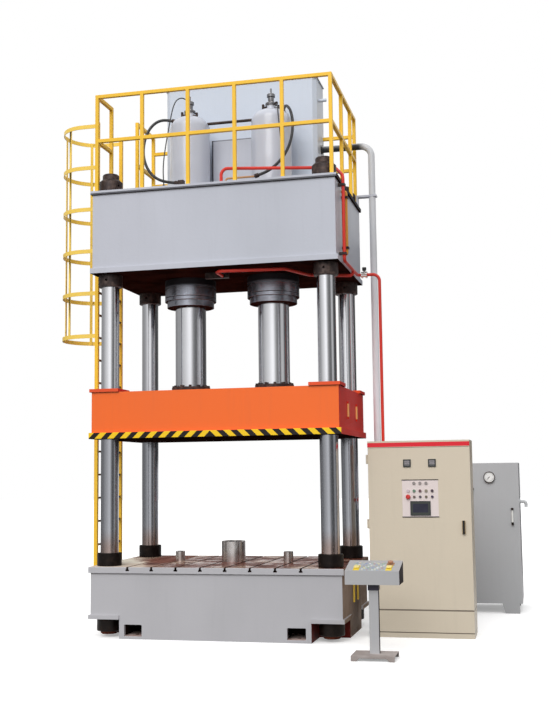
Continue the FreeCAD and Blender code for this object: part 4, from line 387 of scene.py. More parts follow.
def oiled_plate(place):
    """Brown film, worn through in patches, bare and dull in the left corner under a pale painted sheen that
    grows paler towards the back, with a soaked band beside it.
    """
    film = place.clouds(0.55, detail=5.0)
    rust = place.clouds(0.16, detail=6.0)
    planing = place.clouds(0.006, detail=2.0, stretch=(1, 0.03, 1))
    along, deep = place.axis("X"), place.axis("Y")
    dry_and_sheen = 1.0 - (along + deep * DRY_SHEEN_SLANT + rust * 0.5).above(*DRY_SHEEN_EDGE)
    # Painted sheen: the pale colour of the bare left corner, paler towards the back.
    pale = deep.above(*PALE_DEPTH).shade(tint(216, 198, 180), tint(255, 246, 228))
    soaked = along.above(*SOAKED_LEFT) * (1.0 - along.above(*SOAKED_RIGHT)) * deep.above(*SOAKED_FRONT)
    worn = film.above(0.46, 0.60) * (1.0 - soaked)
    bare = (worn + dry_and_sheen).capped().shade(tint(140, 74, 52), dry_and_sheen.shade(tint(206, 170, 148), pale))
    return {
        "Base Color": (rust.above(0.45, 0.65) * (1.0 - dry_and_sheen)).shade(bare, tint(104, 52, 38)),
        "Metallic": 0.35 - dry_and_sheen * 0.35,
        "Roughness": (rust.above(0.35, 0.65) + soaked) * 0.30 + dry_and_sheen * 0.35 + planing * 0.08 + 0.16,
        "height": planing,
        "relief": 0.0003,
    }


def slot_wall(place):
    """Painted shade in the slots: near black at the mouths, a lighter brown where they run on under the left
    ejector.
    """
    inside = place.axis("Y").above(*SLOT_MOUTH)
    left = 1.0 - place.axis("X").above(*SLOT_LEFT)
    return {
        "Base Color": (left * inside).shade(tint(62, 44, 38), tint(150, 108, 90)),
        "Roughness": place.clouds(0.08, detail=5.0) * 0.3 + 0.5,
        "Specular IOR Level": 0.08,
    }


def turned_steel(place):
    wear = place.clouds(0.07, detail=4.0)
    return {
        "Base Color": wear.above(0.4, 0.8).shade(tint(214, 210, 208), tint(190, 182, 178)),
        "Metallic": 0.95,
        "Roughness": wear * 0.06 + 0.17,
        "height": place.clouds(0.02, stretch=(0.1, 0.1, 10)),
        "relief": 0.00003,
    }


TABLE_RIM = 0.006
table_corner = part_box("table_plate")[1]
slot_painted_shade = finish("slot_painted_shade", slot_wall)
table_brown = finish("oiled_table_steel", oiled_plate)
bare_steel = finish("turned_bare_steel", turned_steel)


def table_finish(centre, normal):
    if abs(normal.y) > 0.5 and abs(centre.y) > table_corner.y - TABLE_RIM:
        return bed_grey
    if abs(normal.x) > 0.5 and abs(centre.x) > table_corner.x - TABLE_RIM:
        return side_painted_shade
    return table_brown if normal.z > 0.5 and centre.z > table_corner.z - TABLE_RIM else slot_painted_shade


dress("table_plate", [table_brown, bed_grey, slot_painted_shade, side_painted_shade], edge=0.002, pick=table_finish)
for node in ("centre_ejector", "left_ejector", "right_ejector"):
    dress(node, [bare_steel], edge=0.0)


# ---- Columns, rams, bushes and nuts ----
# Ground and hard-chromed shafts whose threaded ends are rusty in the bed and dark with oil in the crown.
# Their nuts are blackened steel, with holes for a tommy bar. The cylinders' glands are machined steel, near
# black at the top with oil and painted shade under the crown.
FOOT_STAIN, OIL_FILM = (0.9, 1.12), (1.95, 2.6)
NUTS_PALER_ABOVE = (1.0, 1.4)
COLLAR_SHADE_AND_OIL = (3.705, 3.745)
SHAFT_FOOT, SHAFT_HEAD = 0.857, 3.673


def chromed(place):
    film = place.clouds(0.5, detail=4.0, stretch=(1, 1, 0.3))
    foot = 1.0 - place.axis("Z").above(*FOOT_STAIN)
    oiled = 1.0 - place.axis("Z").above(*OIL_FILM)
    clean = film.above(0.3, 0.75).shade(tint(244, 245, 249), tint(226, 226, 231))
    return {
        "Base Color": (foot * 0.6).shade(oiled.shade(clean, tint(196, 198, 205)), tint(176, 138, 116)),
        "Metallic": 1.0,
        "Roughness": film * 0.08 + 0.10,
        "height": place.clouds(0.02, stretch=(0.1, 0.1, 10)),
        "relief": 0.00005,
    }


def blackened(place):
    patch = place.clouds(0.05, detail=5.0).above(0.4, 0.8)
    # Darker on the low nuts, paler on those above.
    up = place.axis("Z").above(*NUTS_PALER_ABOVE)
    black = up.shade(tint(20, 14, 12), tint(54, 45, 44))
    rubbed = up.shade(tint(36, 26, 21), tint(92, 77, 71))
    return {
        "Base Color": patch.shade(black, rubbed),
        "Metallic": 0.25,
        "Specular IOR Level": 0.15,
        "Roughness": patch * 0.15 + 0.42,
        "height": place.clouds(0.02, detail=3.0),
        "relief": 0.0006,
    }


def grey_steel(place):
    patch = place.clouds(0.09, detail=4.0)
    return {
        "Base Color": patch.above(0.35, 0.75).shade(tint(112, 112, 116), tint(84, 82, 84)),
        "Metallic": 0.6,
        "Roughness": patch * 0.2 + 0.26,
        "height": place.clouds(0.004, stretch=(0.2, 0.2, 6)),
        "relief": 0.0003,
    }


def collar_steel(place):
    patch = place.clouds(0.12, detail=4.0)
    # Painted shade and oil: near black at the top, under the crown.
    shade_and_oil = place.axis("Z").above(*COLLAR_SHADE_AND_OIL)
    machined = patch.above(0.3, 0.8).shade(tint(168, 171, 182), tint(140, 140, 148))
    return {
        "Base Color": shade_and_oil.shade(machined, tint(40, 37, 40)),
        "Metallic": 0.85,
        "Roughness": patch * 0.1 + shade_and_oil * 0.3 + 0.2,
        "height": place.clouds(0.02, stretch=(0.1, 0.1, 6)),
        "relief": 0.0001,
    }


chrome = finish("hard_chrome", chromed)
machined_collar = finish("machined_collar_steel", collar_steel)
thread_rust = finish("rusty_thread", grime_and_shade(tint(124, 66, 50), tint(74, 40, 32), size=0.08))
black_steel = finish("blackened_steel", blackened)
dark_steel = finish("dark_grey_steel", grey_steel)


def column_finish(centre, normal):
    if centre.z < SHAFT_FOOT - NEAR:
        return thread_rust
    return black_steel if centre.z > SHAFT_HEAD + NEAR else chrome


def gland_finish(centre, normal):
    return underside_painted_shade if normal.z < -FACING else machined_collar


dress("columns", [chrome, thread_rust, black_steel], edge=0.002, pick=column_finish)
dress("rams", [chrome], edge=0.002)
dress("guide_bushes", [bare_steel], edge=0.001)
dress("cylinder_glands", [machined_collar, underside_painted_shade], edge=0.002, pick=gland_finish)
for node in ("column_nuts", "crown_lock_nuts", "ram_flanges"):
    dress(node, [black_steel], edge=0.002)


def placed(name, shape, materials, body, smooth=True):
    """A new piece from a bmesh, with its faces' material numbers as they are."""
    mesh = bpy.data.meshes.new(name)
    for face in shape.faces:
        face.smooth = smooth
    shape.to_mesh(mesh)
    shape.free()
    mesh.set_sharp_from_angle(angle=CREASE)
    for material in materials:
        mesh.materials.append(material)
    piece = bpy.data.objects.new(name, mesh)
    bpy.context.scene.collection.objects.link(piece)
    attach(piece, body)


HEAD_SUNK = 0.0005
ACROSS_TO_FOOT, ACROSS_TO_TOP = 1.732, 1.9


def hex_heads(shape, seats, across, height):
    """Upright hexagon bolt heads on their seats, with sides that lean in a little."""
    for seat in seats:
        spot = Matrix.Translation(Vector(seat) + Vector((0, 0, height / 2 - HEAD_SUNK)))
        bmesh.ops.create_cone(shape, cap_ends=True, segments=6, radius1=across / ACROSS_TO_FOOT,
                              radius2=across / ACROSS_TO_TOP, depth=height, matrix=spot)


def round_seats(x, z, radius, count):
    """Places on a bolt circle about the axis of a cylinder at x."""
    turns = [math.tau * (i + 0.5) / count for i in range(count)]
    return [(x + radius * math.cos(turn), radius * math.sin(turn), z) for turn in turns]


CYLINDERS_X = (-0.475, 0.475)
flange_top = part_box("ram_flanges")[1].z
ram_bolts = bmesh.new()
for x in CYLINDERS_X:
    hex_heads(ram_bolts, round_seats(x, flange_top, radius=0.191, count=12), across=0.030, height=0.019)
placed("ram_flange_bolts", ram_bolts, [black_steel], "slide", smooth=False)

# ---- Slide ----
# A welded box sprayed orange red, its sides painted a deeper red as shade and its underside near black as
# shade. Its bottom plate has a painted band of yellow and black hazard stripes along the front and the back,
# and two bars are welded to its side, pale along their middles as a painted highlight.
STRIPE_PERIOD, STRIPE_SHIFT, STRIPE_SOFT = 0.141, 0.008, 0.002
STRIPES_LEFT, RIGHT_STRIPES_WIDER = 0.016, 0.03
BAR_PALE = (2.240, 2.375)
PAD_THICKNESS = 0.035
BARS_BELOW_TOP = 0.05
SHADED_SIDE_RED = tint(212, 34, 16)
slide_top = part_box("slide_beam")[1].z
slide_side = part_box("slide_beam")[1].x - PLATE_LIP
plate_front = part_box("slide_plate")[1].y


def hazard_band(place):
    """Stripes that lean out to both sides from a point a little left of the middle."""
    side = place.axis("X") + STRIPES_LEFT
    on_right = 1.0 - side.above(-NEAR, NEAR) * RIGHT_STRIPES_WIDER
    lean = abs(side) * on_right + place.axis("Z")
    phase = lean.math("FLOORED_MODULO", lean + STRIPE_SHIFT, STRIPE_PERIOD)
    black = phase.above(STRIPE_PERIOD / 2 - STRIPE_SOFT, STRIPE_PERIOD / 2 + STRIPE_SOFT)
    return black.shade(tint(248, 204, 22), tint(26, 20, 22))


def bar_highlight(place):
    """Pale along the middle of each bar, a painted highlight of its sunlit edge, with the sides' shaded red
    over its ends.
    """
    return place.axis("Z").between(*BAR_PALE).shade(SHADED_SIDE_RED, tint(250, 190, 118))


slide_orange = finish("slide_orange", enamel(tint(247, 110, 40), dust=0.08, drift=0.05))
slide_pad_red = finish("slide_pad_red", enamel(tint(232, 82, 34), dust=0.08, drift=0.08))
slide_side_shade = finish("slide_side_painted_shade", enamel(SHADED_SIDE_RED, dust=0.05, drift=0.10, coat=0.0))
slide_highlight_bars = finish("slide_bar_highlight", enamel(bar_highlight))
slide_band = finish("slide_hazard_band", enamel(hazard_band, drift=0.03))


def beam_finish(centre, normal):
    if centre.x > slide_side + NEAR and centre.z < slide_top - BARS_BELOW_TOP:
        return slide_highlight_bars
    # Painted shade: the sides take a deeper red than the front.
    if abs(normal.x) > FACING:
        return slide_side_shade
    if centre.z > slide_top - PAD_THICKNESS + NEAR:
        return slide_pad_red
    return underside_painted_shade if normal.z < -FACING else slide_orange


def plate_finish(centre, normal):
    if abs(normal.y) > FACING and abs(centre.y) > plate_front - NEAR:
        return slide_band
    if abs(normal.x) > FACING:
        return slide_side_shade
    return underside_painted_shade if normal.z < -FACING else slide_orange


dress("slide_beam", [slide_orange, slide_highlight_bars, slide_side_shade, underside_painted_shade, slide_pad_red], pick=beam_finish)
dress("slide_plate", [slide_orange, slide_band, slide_side_shade, underside_painted_shade], pick=plate_finish)

# ---- Crown, cylinders and overhead tank ----
# Welded plate and turned barrels in a cool grey enamel. The joint under the crown's top plate is dark, with
# painted shade under the lip and on the plate's right edge; the crown's underside is painted near black as
# shade, and the tops of the cylinder collars below it are dark with oil and painted shade.
crown_low, crown_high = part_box("crown")
LIP_SEAM_SHADE = (crown_high.z - 0.042, crown_high.z - 0.022)
PALER_LEFT = (-1.3, 0.6)
MANIFOLD_LEFT, MANIFOLD_TOP = (-0.268, -0.262), (5.459, 5.463)


def crown_enamel(place):
    plate = place.axis("X").above(*PALER_LEFT).shade(tint(197, 199, 209), tint(190, 193, 203))
    # A dark joint, with painted shade, under the top plate's lip.
    return (place.axis("Z").between(*LIP_SEAM_SHADE) * 0.85).shade(plate, tint(40, 40, 48))


def manifold_enamel(place):
    """Grey, with painted shade: a dark line down the left edge, by the left cylinder, and a fainter one along
    the top.
    """
    gap_shade = 1.0 - place.axis("X").above(*MANIFOLD_LEFT)
    return (gap_shade + place.axis("Z").above(*MANIFOLD_TOP) * 0.6).shade(tint(198, 201, 211), tint(50, 48, 56))


crown_grey = finish("crown_grey", enamel(crown_enamel))
manifold_grey = finish("manifold_grey", enamel(manifold_enamel))
barrel_grey = finish("barrel_grey", enamel(tint(194, 198, 210), rough=0.30, coat=0.8))
tank_grey = finish("tank_grey", enamel(tint(201, 209, 222), drift=0.06))
dark_seam_and_shade = finish("dark_seam_and_shade", grime_and_shade(tint(52, 50, 58), tint(36, 34, 40)))


def crown_finish(centre, normal):
    if normal.z < -FACING:
        return underside_painted_shade
    # The top plate's right edge is painted near black, partly as shade.
    top_edge = normal.x > FACING and centre.z > LIP_SEAM_SHADE[0] and centre.x > crown_high.x - NEAR
    return dark_seam_and_shade if top_edge else crown_grey


def cylinder_finish(centre, normal):
    if centre.z > crown_low.z:
        return barrel_grey
    return underside_painted_shade if normal.z < -FACING else machined_collar


dress("crown", [crown_grey, underside_painted_shade, dark_seam_and_shade], pick=crown_finish)
dress("main_cylinders", [barrel_grey, machined_collar, underside_painted_shade], pick=cylinder_finish)
for node in ("overhead_tank", "tank_lid"):
    dress(node, [tank_grey])
dress("manifold_box", [manifold_grey])
dress("cylinder_nuts", [barrel_grey])
dress("cross_pipe", [black_steel], edge=0.0)

# ---- Filling valves and hose fittings ----
# Machined steel valves with dark plugs, bolted on the cylinders' necks. The hoses end in crimped dark
# ferrules, and one of them goes on as a thin brown pipe.
VALVE_LEDGE, VALVE_FLANGE, VALVE_REACH = 5.772, 0.022, 0.066
CAP_DROP = 0.062
CROWN_FITTINGS_TOP = 4.9
LEFT_BLOCK_X, LEFT_BLOCK_Y, LEFT_BLOCK_REACH = -0.45, -0.37, 0.06
THIN_PIPE_LEFT, THIN_PIPE_RIGHT, THIN_PIPE_BACK = 0.04, 0.38, -0.38
brown_pipe = finish("thin_pipe_brown", enamel(tint(196, 150, 104), drift=0.15))


def valve_finish(centre, normal):
    """Grey steel for flange, body and cap, black for the side plugs and the pilot hose's stub."""
    below = centre.z < VALVE_LEDGE - VALVE_FLANGE - NEAR / 2
    beyond = abs(abs(centre.x) - CYLINDERS_X[1]) > VALVE_REACH
    return black_steel if below or beyond else dark_steel


def fitting_finish(centre, normal):
    if centre.z > CROWN_FITTINGS_TOP:
        return black_steel
    on_block = centre.x < LEFT_BLOCK_X and abs(centre.y - LEFT_BLOCK_Y) < LEFT_BLOCK_REACH
    if on_block and abs(normal.x) + abs(normal.z) > 0.99:
        return crown_grey
    on_pipe = THIN_PIPE_LEFT < centre.x < THIN_PIPE_RIGHT and centre.y < THIN_PIPE_BACK
    return brown_pipe if on_pipe else black_steel


dress("prefill_valves", [dark_steel, black_steel], edge=0.001, pick=valve_finish)
dress("hose_fittings", [black_steel, brown_pipe, crown_grey], edge=0.001, pick=fitting_finish)
valve_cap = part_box("prefill_valves")[1].z - CAP_DROP
valve_bolts = bmesh.new()
for x in CYLINDERS_X:
    hex_heads(valve_bolts, round_seats(x, VALVE_LEDGE, radius=0.052, count=8), across=0.015, height=0.009)
    hex_heads(valve_bolts, round_seats(x, valve_cap, radius=0.029, count=6), across=0.011, height=0.007)
placed("prefill_valve_bolts", valve_bolts, [bare_steel], "frame", smooth=False)

# ---- Rails, ladder and cage ----
# Square tube, angle and flat bar welded up and sprayed yellow, with the rungs painted dark brown as shade.
# Ladder and cage stay out of mirror images, where they would only fleck the chrome.
STILE, RUNGS_BEYOND_X = 0.045, -1.40
rail_yellow = finish("rail_yellow", enamel(tint(252, 200, 52), dust=0.05, drift=0.08))
cage_yellow = finish("cage_yellow", enamel(tint(255, 216, 96), dust=0.05))
rung_shade = finish("rung_painted_shade", grime_and_shade(tint(126, 96, 56), tint(86, 66, 46), size=0.05))
ladder_front, ladder_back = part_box("ladder")


def ladder_finish(centre, normal):
    between_stiles = ladder_front.y + STILE < centre.y < ladder_back.y - STILE
    return rung_shade if between_stiles and centre.x < RUNGS_BEYOND_X else rail_yellow


for node in ("front_railing", "left_railing", "right_railing"):
    dress(node, [rail_yellow])
ladder = dress("ladder", [rail_yellow, rung_shade], pick=ladder_finish)
cage = dress("ladder_cage", [cage_yellow], edge=0.0, flat=False)
for piece in (ladder, cage):
    piece.visible_glossy = False

# ---- Pipes ----
# Steel tube: the pressure lines are sprayed red, the drain orange, and the tank's return line grey, painted
# paler low down as light and near black where it leaves the tank as a painted dark reflection, with a painted
# highlight on top. Black clamps hold them, and a grey bracket at the back.
DARK_REFLECTION_END, PAINTED_LIGHT_BELOW = (1.35, 1.44), (3.3, 4.2)
PORT_BAR_X, PORT_BAR_HALF = -0.030, 0.131
PORT_BAR_FRONT, PORT_BAR_BACK, PORT_BAR_BELOW = -0.476, -0.420, 3.9
BRACKET_BEHIND_Y = 0.5
UNION_TOP = 3.857


def return_paint(place):
    """Grey, painted paler low down as light, and near black next to the tank as a painted dark reflection,
    with a painted highlight where light catches the upper side.
    """
    painted_highlight = facing_up(place).above(0.2, 0.8)
    black = (1.0 - place.axis("X").above(*DARK_REFLECTION_END)) * (1.0 - painted_highlight * 0.7)
    grey = place.axis("Z").above(*PAINTED_LIGHT_BELOW).shade(tint(240, 240, 246), tint(206, 208, 212))
    return black.shade(grey, tint(50, 52, 55))


pipe_red = finish("pipe_red", enamel(tint(218, 58, 46), drift=0.08))
pipe_orange = finish("drain_pipe_orange", enamel(tint(232, 160, 62), drift=0.12))
pipe_grey = finish("pipe_grey", enamel(return_paint, rough=0.28))


def pressure_finish(centre, normal):
    """Red but for the black port bar under the crown."""
    across = abs(centre.x - PORT_BAR_X) < PORT_BAR_HALF
    deep = PORT_BAR_FRONT < centre.y < PORT_BAR_BACK and centre.z < PORT_BAR_BELOW
    return black_steel if across and deep else pipe_red


def clamp_finish(centre, normal):
    return crown_grey if centre.y > BRACKET_BEHIND_Y else black_steel


def shutoff_finish(centre, normal):
    return black_steel if centre.z > UNION_TOP else bare_steel


for node in ("crown_pipe", "cylinder_pipe", "supply_pipe"):
    dress(node, [pipe_red, black_steel], edge=0.001, pick=pressure_finish)
dress("return_pipe", [pipe_grey])
dress("drain_pipe", [pipe_orange], edge=0.0)
dress("pipe_clamps", [black_steel, crown_grey], edge=0.001, pick=clamp_finish)
dress("shutoff_valve", [bare_steel, black_steel], edge=0.001, pick=shutoff_finish)
dress("valve_knob", [hose_rubber], edge=0.001)

# ---- Electrical cabinet ----
# Folded sheet in a warm beige powder coat, with a red strip over the door. The switchgear inside stands
# on a zinc-plated plate.
BEIGE = tint(213, 201, 181)
HEADER_BOTTOM, HEADER_BEFORE_Y = 1.914, -0.235
RED_STRIP = (1.9185, 1.9625)
KICK_SEAM, PLINTH_SEAM = (0.267, 0.2785), (0.048, 0.058)
GEAR_PLATE_FRONT, DRIVES_TOP = 0.169, 0.82


def header_paint(place):
    return place.axis("Z").between(*RED_STRIP).shade(BEIGE, tint(224, 36, 52))


def body_paint(place):
    high = place.axis("Z")
    seams = high.between(*KICK_SEAM) + high.between(*PLINTH_SEAM)
    return (seams * 0.75).shade(BEIGE, tint(84, 70, 60))


cabinet_beige = finish("cabinet_beige", enamel(BEIGE, drift=0.04, dust=0.05))
cabinet_seams = finish("cabinet_body_beige", enamel(body_paint, drift=0.04, dust=0.05))
header_red = finish("cabinet_header_red", enamel(header_paint, drift=0.03))
device_dark = finish("device_dark", enamel(tint(60, 62, 66), coat=0.0, rough=0.5))
device_pale = finish("device_pale", enamel(tint(196, 196, 190), coat=0.0, rough=0.5))


def cabinet_finish(centre, normal):
    on_header = centre.z > HEADER_BOTTOM - NEAR and centre.y < HEADER_BEFORE_Y
    return header_red if on_header else cabinet_seams


def gear_finish(centre, normal):
    if centre.y > GEAR_PLATE_FRONT:
        return bare_steel
    return device_pale if centre.z < DRIVES_TOP else device_dark


dress("cabinet_body", [cabinet_seams, header_red], edge=0.0015, pick=cabinet_finish)
dress("cabinet_door", [cabinet_beige], edge=0.0015)
dress("switchgear", [bare_steel, device_pale, device_dark], edge=0.001, pick=gear_finish)

# ---- Control panel on the door ----
# A pale engraved sheet with black lines along its upper and lower edges, a dark touch screen, coloured
# lamps, black buttons, a red stop and two dark meters with pale faces. The door handle is black with
# brass edges.
PANEL_X, PANEL_LOW, PANEL_HIGH = 2.048, 1.205, 1.579
SHEET_FRONT = -0.2592
SCREEN_BELOW, UPPER_LAMPS_ABOVE, METERS_ABOVE = 1.37, 1.52, 1.6
LAMP_PITCH = 0.061
ROW_LAMPS = [tint(206, 190, 196), tint(104, 134, 112), tint(104, 72, 78), tint(142, 134, 116),
             tint(76, 60, 70)]
UPPER_LAMPS = tint(150, 142, 140)
BUTTONS = [tint(106, 94, 88), tint(88, 82, 92), tint(112, 102, 86), tint(78, 66, 88)]
HANDLE_X, HANDLE_BLACK = 2.477, (0.0105, 0.0115)


def brass_edged(place):
    edge = abs(place.axis("X") - HANDLE_X).above(*HANDLE_BLACK)
    return edge.shade(tint(34, 33, 33), tint(150, 120, 66))


meter_frame = finish("meter_frame", enamel(tint(52, 56, 56), rough=0.4, drift=0.05))
lamps = [finish(f"lamp_{i}", enamel(shade, rough=0.2, coat=0.6, drift=0.02))
         for i, shade in enumerate([*ROW_LAMPS, UPPER_LAMPS])]
panel_sheet = finish("panel_sheet", enamel(tint(228, 215, 212), drift=0.03))
stop_red = finish("stop_red", enamel(tint(204, 56, 54), rough=0.25, coat=0.3, drift=0.02))
handle_brass = finish("handle_black_brass", enamel(brass_edged, rough=0.3))


def panel_finish(centre, normal):
    """A dark frame for meters and screen, and for each lamp its own colour, by its place in the row."""
    if centre.z > METERS_ABOVE:
        return meter_frame
    if centre.y > SHEET_FRONT:
        return panel_sheet
    if centre.z < SCREEN_BELOW:
        return meter_frame
    if centre.z > UPPER_LAMPS_ABOVE:
        return lamps[-1]
    return lamps[max(0, min(4, round((centre.x - PANEL_X) / LAMP_PITCH) + 2))]


dress("control_panel", [panel_sheet, meter_frame, *lamps], edge=0.0005, pick=panel_finish)
dress("emergency_stop", [stop_red], edge=0.0005)
for number, shade in enumerate(BUTTONS, 1):
    button = finish(f"button_{number}", enamel(shade, rough=0.3, drift=0.02))
    dress(f"panel_button_{number}", [button], edge=0.0003)
dress("door_handle", [handle_brass], edge=0.001)


def block(shape, low, high, index=0, spin=None):
    """A box between two corners, with a material number, turned by a matrix if one is given."""
    low, high = Vector(low), Vector(high)
    spot = Matrix.Translation((low + high) / 2) @ Matrix.Diagonal((*(high - low), 1))
    made = bmesh.ops.create_cube(shape, size=1, matrix=spin @ spot if spin else spot)
    for face in {face for vert in made["verts"] for face in vert.link_faces}:
        face.material_index = index


METER_OUT, METER_HIGH, METER_GLASS = 0.127, 1.750, 0.0272
METER_FRONT, GLASS_BACK = -0.2670, -0.2655
PIVOT_DROP, SCALE_ARC, NEEDLE_SLANT = 0.022, (0.034, 0.0365), 0.8
NEEDLE_FOOT, NEEDLE_TIP, NEEDLE_HALF = (-0.022, -0.020), (0.010, 0.012), 0.0011
SCALE_LOW, LABEL_TOP = (-0.004, 0.0), (-0.0125, -0.0115)
SCREEN_HIGH, SCREEN_HALF_X, SCREEN_HALF_Z, SCREEN_FRONT = 1.292, 0.0937, 0.0643, -0.2676
RIM_X, RIM_HIGH, RIM_Z = (0.076, 0.079), 1.294, (0.043, 0.046)
LINE_HALF_X, LINE_HALF_Z, LINE_FRONT, LINE_BACK = 0.186, 0.0045, -0.2606, -0.2560


def meter_face(place):
    """A scale arc and a slanting needle over a grey lower part, mirrored from one meter to the other."""
    x = abs(place.axis("X") - PANEL_X) - METER_OUT
    z = place.axis("Z") - METER_HIGH
    radius = (x * x + (z + PIVOT_DROP) * (z + PIVOT_DROP)).root()
    arc = radius.between(*SCALE_ARC, soft=0.0005) * z.above(*SCALE_LOW)
    slant = abs(x - z * NEEDLE_SLANT).between(-1.0, NEEDLE_HALF, soft=0.0003)
    needle = slant * z.above(*NEEDLE_FOOT) * (1.0 - z.above(*NEEDLE_TIP))
    low = 1.0 - z.above(*LABEL_TOP)
    return (arc + needle + low * 0.7).shade(tint(142, 138, 142), tint(84, 86, 84))


def screen_face(place):
    """Dark glass with a slightly paler rim."""
    sides = abs(place.axis("X") - PANEL_X).above(*RIM_X)
    rim = (sides + abs(place.axis("Z") - RIM_HIGH).above(*RIM_Z)).capped()
    return rim.shade(place.clouds(0.1).shade(tint(34, 34, 50), tint(58, 58, 72)), tint(66, 70, 66))


meter_paper = finish("meter_face", enamel(meter_face, rough=0.15, drift=0.0))
screen_glass = finish("screen_glass", enamel(screen_face, rough=0.2, coat=0.1, drift=0.0))
faces = bmesh.new()
for x in (PANEL_X - METER_OUT, PANEL_X + METER_OUT):
    block(faces, (x - METER_GLASS, METER_FRONT, METER_HIGH - METER_GLASS),
          (x + METER_GLASS, GLASS_BACK, METER_HIGH + METER_GLASS), 0)
block(faces, (PANEL_X - SCREEN_HALF_X, SCREEN_FRONT, SCREEN_HIGH - SCREEN_HALF_Z),
      (PANEL_X + SCREEN_HALF_X, GLASS_BACK, SCREEN_HIGH + SCREEN_HALF_Z), 1)
for z in (PANEL_LOW, PANEL_HIGH):
    block(faces, (PANEL_X - LINE_HALF_X, LINE_FRONT, z - LINE_HALF_Z),
          (PANEL_X + LINE_HALF_X, LINE_BACK, z + LINE_HALF_Z), 2)
placed("panel_faces", faces, [meter_paper, screen_glass, dark_seam_and_shade], "door", smooth=False)

# ---- Power unit ----
# Sheet steel housing in mid grey over the pump and its motor, with a white-faced pressure gauge, a dark
# turn latch, a white level tube and a pale filler spout.
PUMP_BEYOND_X = 2.27
SPOUT_BEYOND_X = 2.99
LEVEL_X, LEVEL_Z, LEVEL_RADIUS, LEVEL_HALF = 2.914, 1.128, 0.0115, 0.0699
GAUGE_X, GAUGE_Z = 2.660, 1.590
DIAL_RADIUS, DIAL_THICKNESS, DIAL_OUT = 0.0588, 0.0012, 0.0256
TICKS, TICK_HALF, TICK_RING = 20, 0.09, (0.042, 0.053)
unit_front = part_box("power_unit")[0].y


def dial(place):
    """Dark ticks round the edge of a white face."""
    x, z = place.axis("X") - GAUGE_X, place.axis("Z") - GAUGE_Z
    radius = (x * x + z * z).root()
    turn = x.math("ARCTAN2", x, z) * (TICKS / math.tau)
    off_tick = abs(turn - turn.math("FLOOR", turn + 0.5))
    tick = off_tick.between(-1.0, TICK_HALF, soft=0.02) * radius.between(*TICK_RING)
    return (tick * 0.9).shade(tint(240, 240, 238), tint(40, 40, 44))


unit_grey = finish("unit_grey", enamel(tint(184, 185, 187), drift=0.08))
motor_grey = finish("motor_grey", enamel(tint(120, 128, 134), drift=0.15))
white_tube = finish("level_tube_white", enamel(tint(236, 236, 232), rough=0.2, drift=0.03))
spout_grey = finish("spout_grey", enamel(tint(196, 198, 200)))
gauge_dial = finish("gauge_dial", enamel(dial, rough=0.2, drift=0.0))


def motor_finish(centre, normal):
    return black_steel if centre.x > PUMP_BEYOND_X else motor_grey


def unit_fitting_finish(centre, normal):
    if centre.x > SPOUT_BEYOND_X:
        return spout_grey
    on_tube = abs(centre.x - LEVEL_X) < LEVEL_RADIUS and abs(centre.z - LEVEL_Z) < LEVEL_HALF
    return white_tube if on_tube else black_steel


dress("power_unit", [unit_grey])
dress("pump_motor", [motor_grey, black_steel], edge=0.002, pick=motor_finish)
dress("unit_fittings", [black_steel, white_tube, spout_grey], edge=0.0005, pick=unit_fitting_finish)
dress("gauge_needle", [black_steel], edge=0.0)
dial_plate = bmesh.new()
dial_centre = Matrix.Translation((GAUGE_X, unit_front - DIAL_OUT, GAUGE_Z))
dial_spot = dial_centre @ Matrix.Rotation(math.radians(90), 4, "X")
bmesh.ops.create_cone(dial_plate, cap_ends=True, segments=48, radius1=DIAL_RADIUS, radius2=DIAL_RADIUS,
                      depth=DIAL_THICKNESS, matrix=dial_spot)
placed("gauge_dial", dial_plate, [gauge_dial], "frame")

# ---- Operator desk ----
# A sloping sheet-metal box on a square post with a black neck. On its slope are an aluminium plate with
# coloured keys and lamps, two yellow palm buttons, and a brown plate under the stop.
DESK_X, DESK_Y, DESK_EDGE = 1.742, -1.53, 0.784
DESK_RISE, DESK_DEPTH = 0.070, 0.300
RIGHT_SIDE_BEYOND = 0.24
LAMPS_HALF_X, LAMPS_PITCH, LAMPS_BACK_ROW = 0.1, 0.04, 0.14
NECK_BOTTOM, NECK_X, NECK_Y, FOOT_TOP = 0.6, 0.049, 0.035, 0.052
KEY_TINTS = [tint(210, 208, 178), tint(160, 184, 164), tint(156, 166, 192), tint(216, 218, 222),
             tint(184, 158, 160)]
desk_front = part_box("desk_box")[0].y
slope = Matrix.Rotation(math.atan2(DESK_RISE, DESK_DEPTH), 4, "X")
on_slope = Matrix.Translation((DESK_X, desk_front, DESK_EDGE)) @ slope


def brushed(place):
    return place.clouds(0.002, stretch=(0.05, 1, 1)).shade(tint(182, 190, 196), tint(162, 170, 178))


desk_grey = finish("desk_grey", enamel(tint(174, 174, 176), drift=0.05))
desk_shade = finish("desk_side_dark", grime_and_shade(tint(90, 86, 86), tint(72, 68, 68), shine=0.0))
neck_black = finish("desk_neck_black", enamel(tint(50, 46, 62), rough=0.3))
foot_dust = finish("desk_foot_dust", grime_and_shade(tint(180, 172, 169), tint(156, 146, 142)))
keys = [finish(f"desk_key_{i}", enamel(shade, rough=0.25, drift=0.02)) for i, shade in enumerate(KEY_TINTS)]
# The domes' pale yellow is partly a painted highlight.
palm_yellow_and_highlight = finish("palm_dome_pale_highlight", enamel(tint(248, 232, 150), rough=0.25, coat=0.5, drift=0.02))
desk_stop_red = finish("desk_stop_red", enamel(tint(176, 124, 98), rough=0.3))
yellow_square = finish("palm_base_yellow", enamel(tint(238, 206, 40), rough=0.3, drift=0.03))
stop_plate = finish("stop_plate_brown", enamel(tint(172, 124, 84), rough=0.35))
key_plate = finish("key_plate_aluminium", enamel(brushed, rough=0.3))


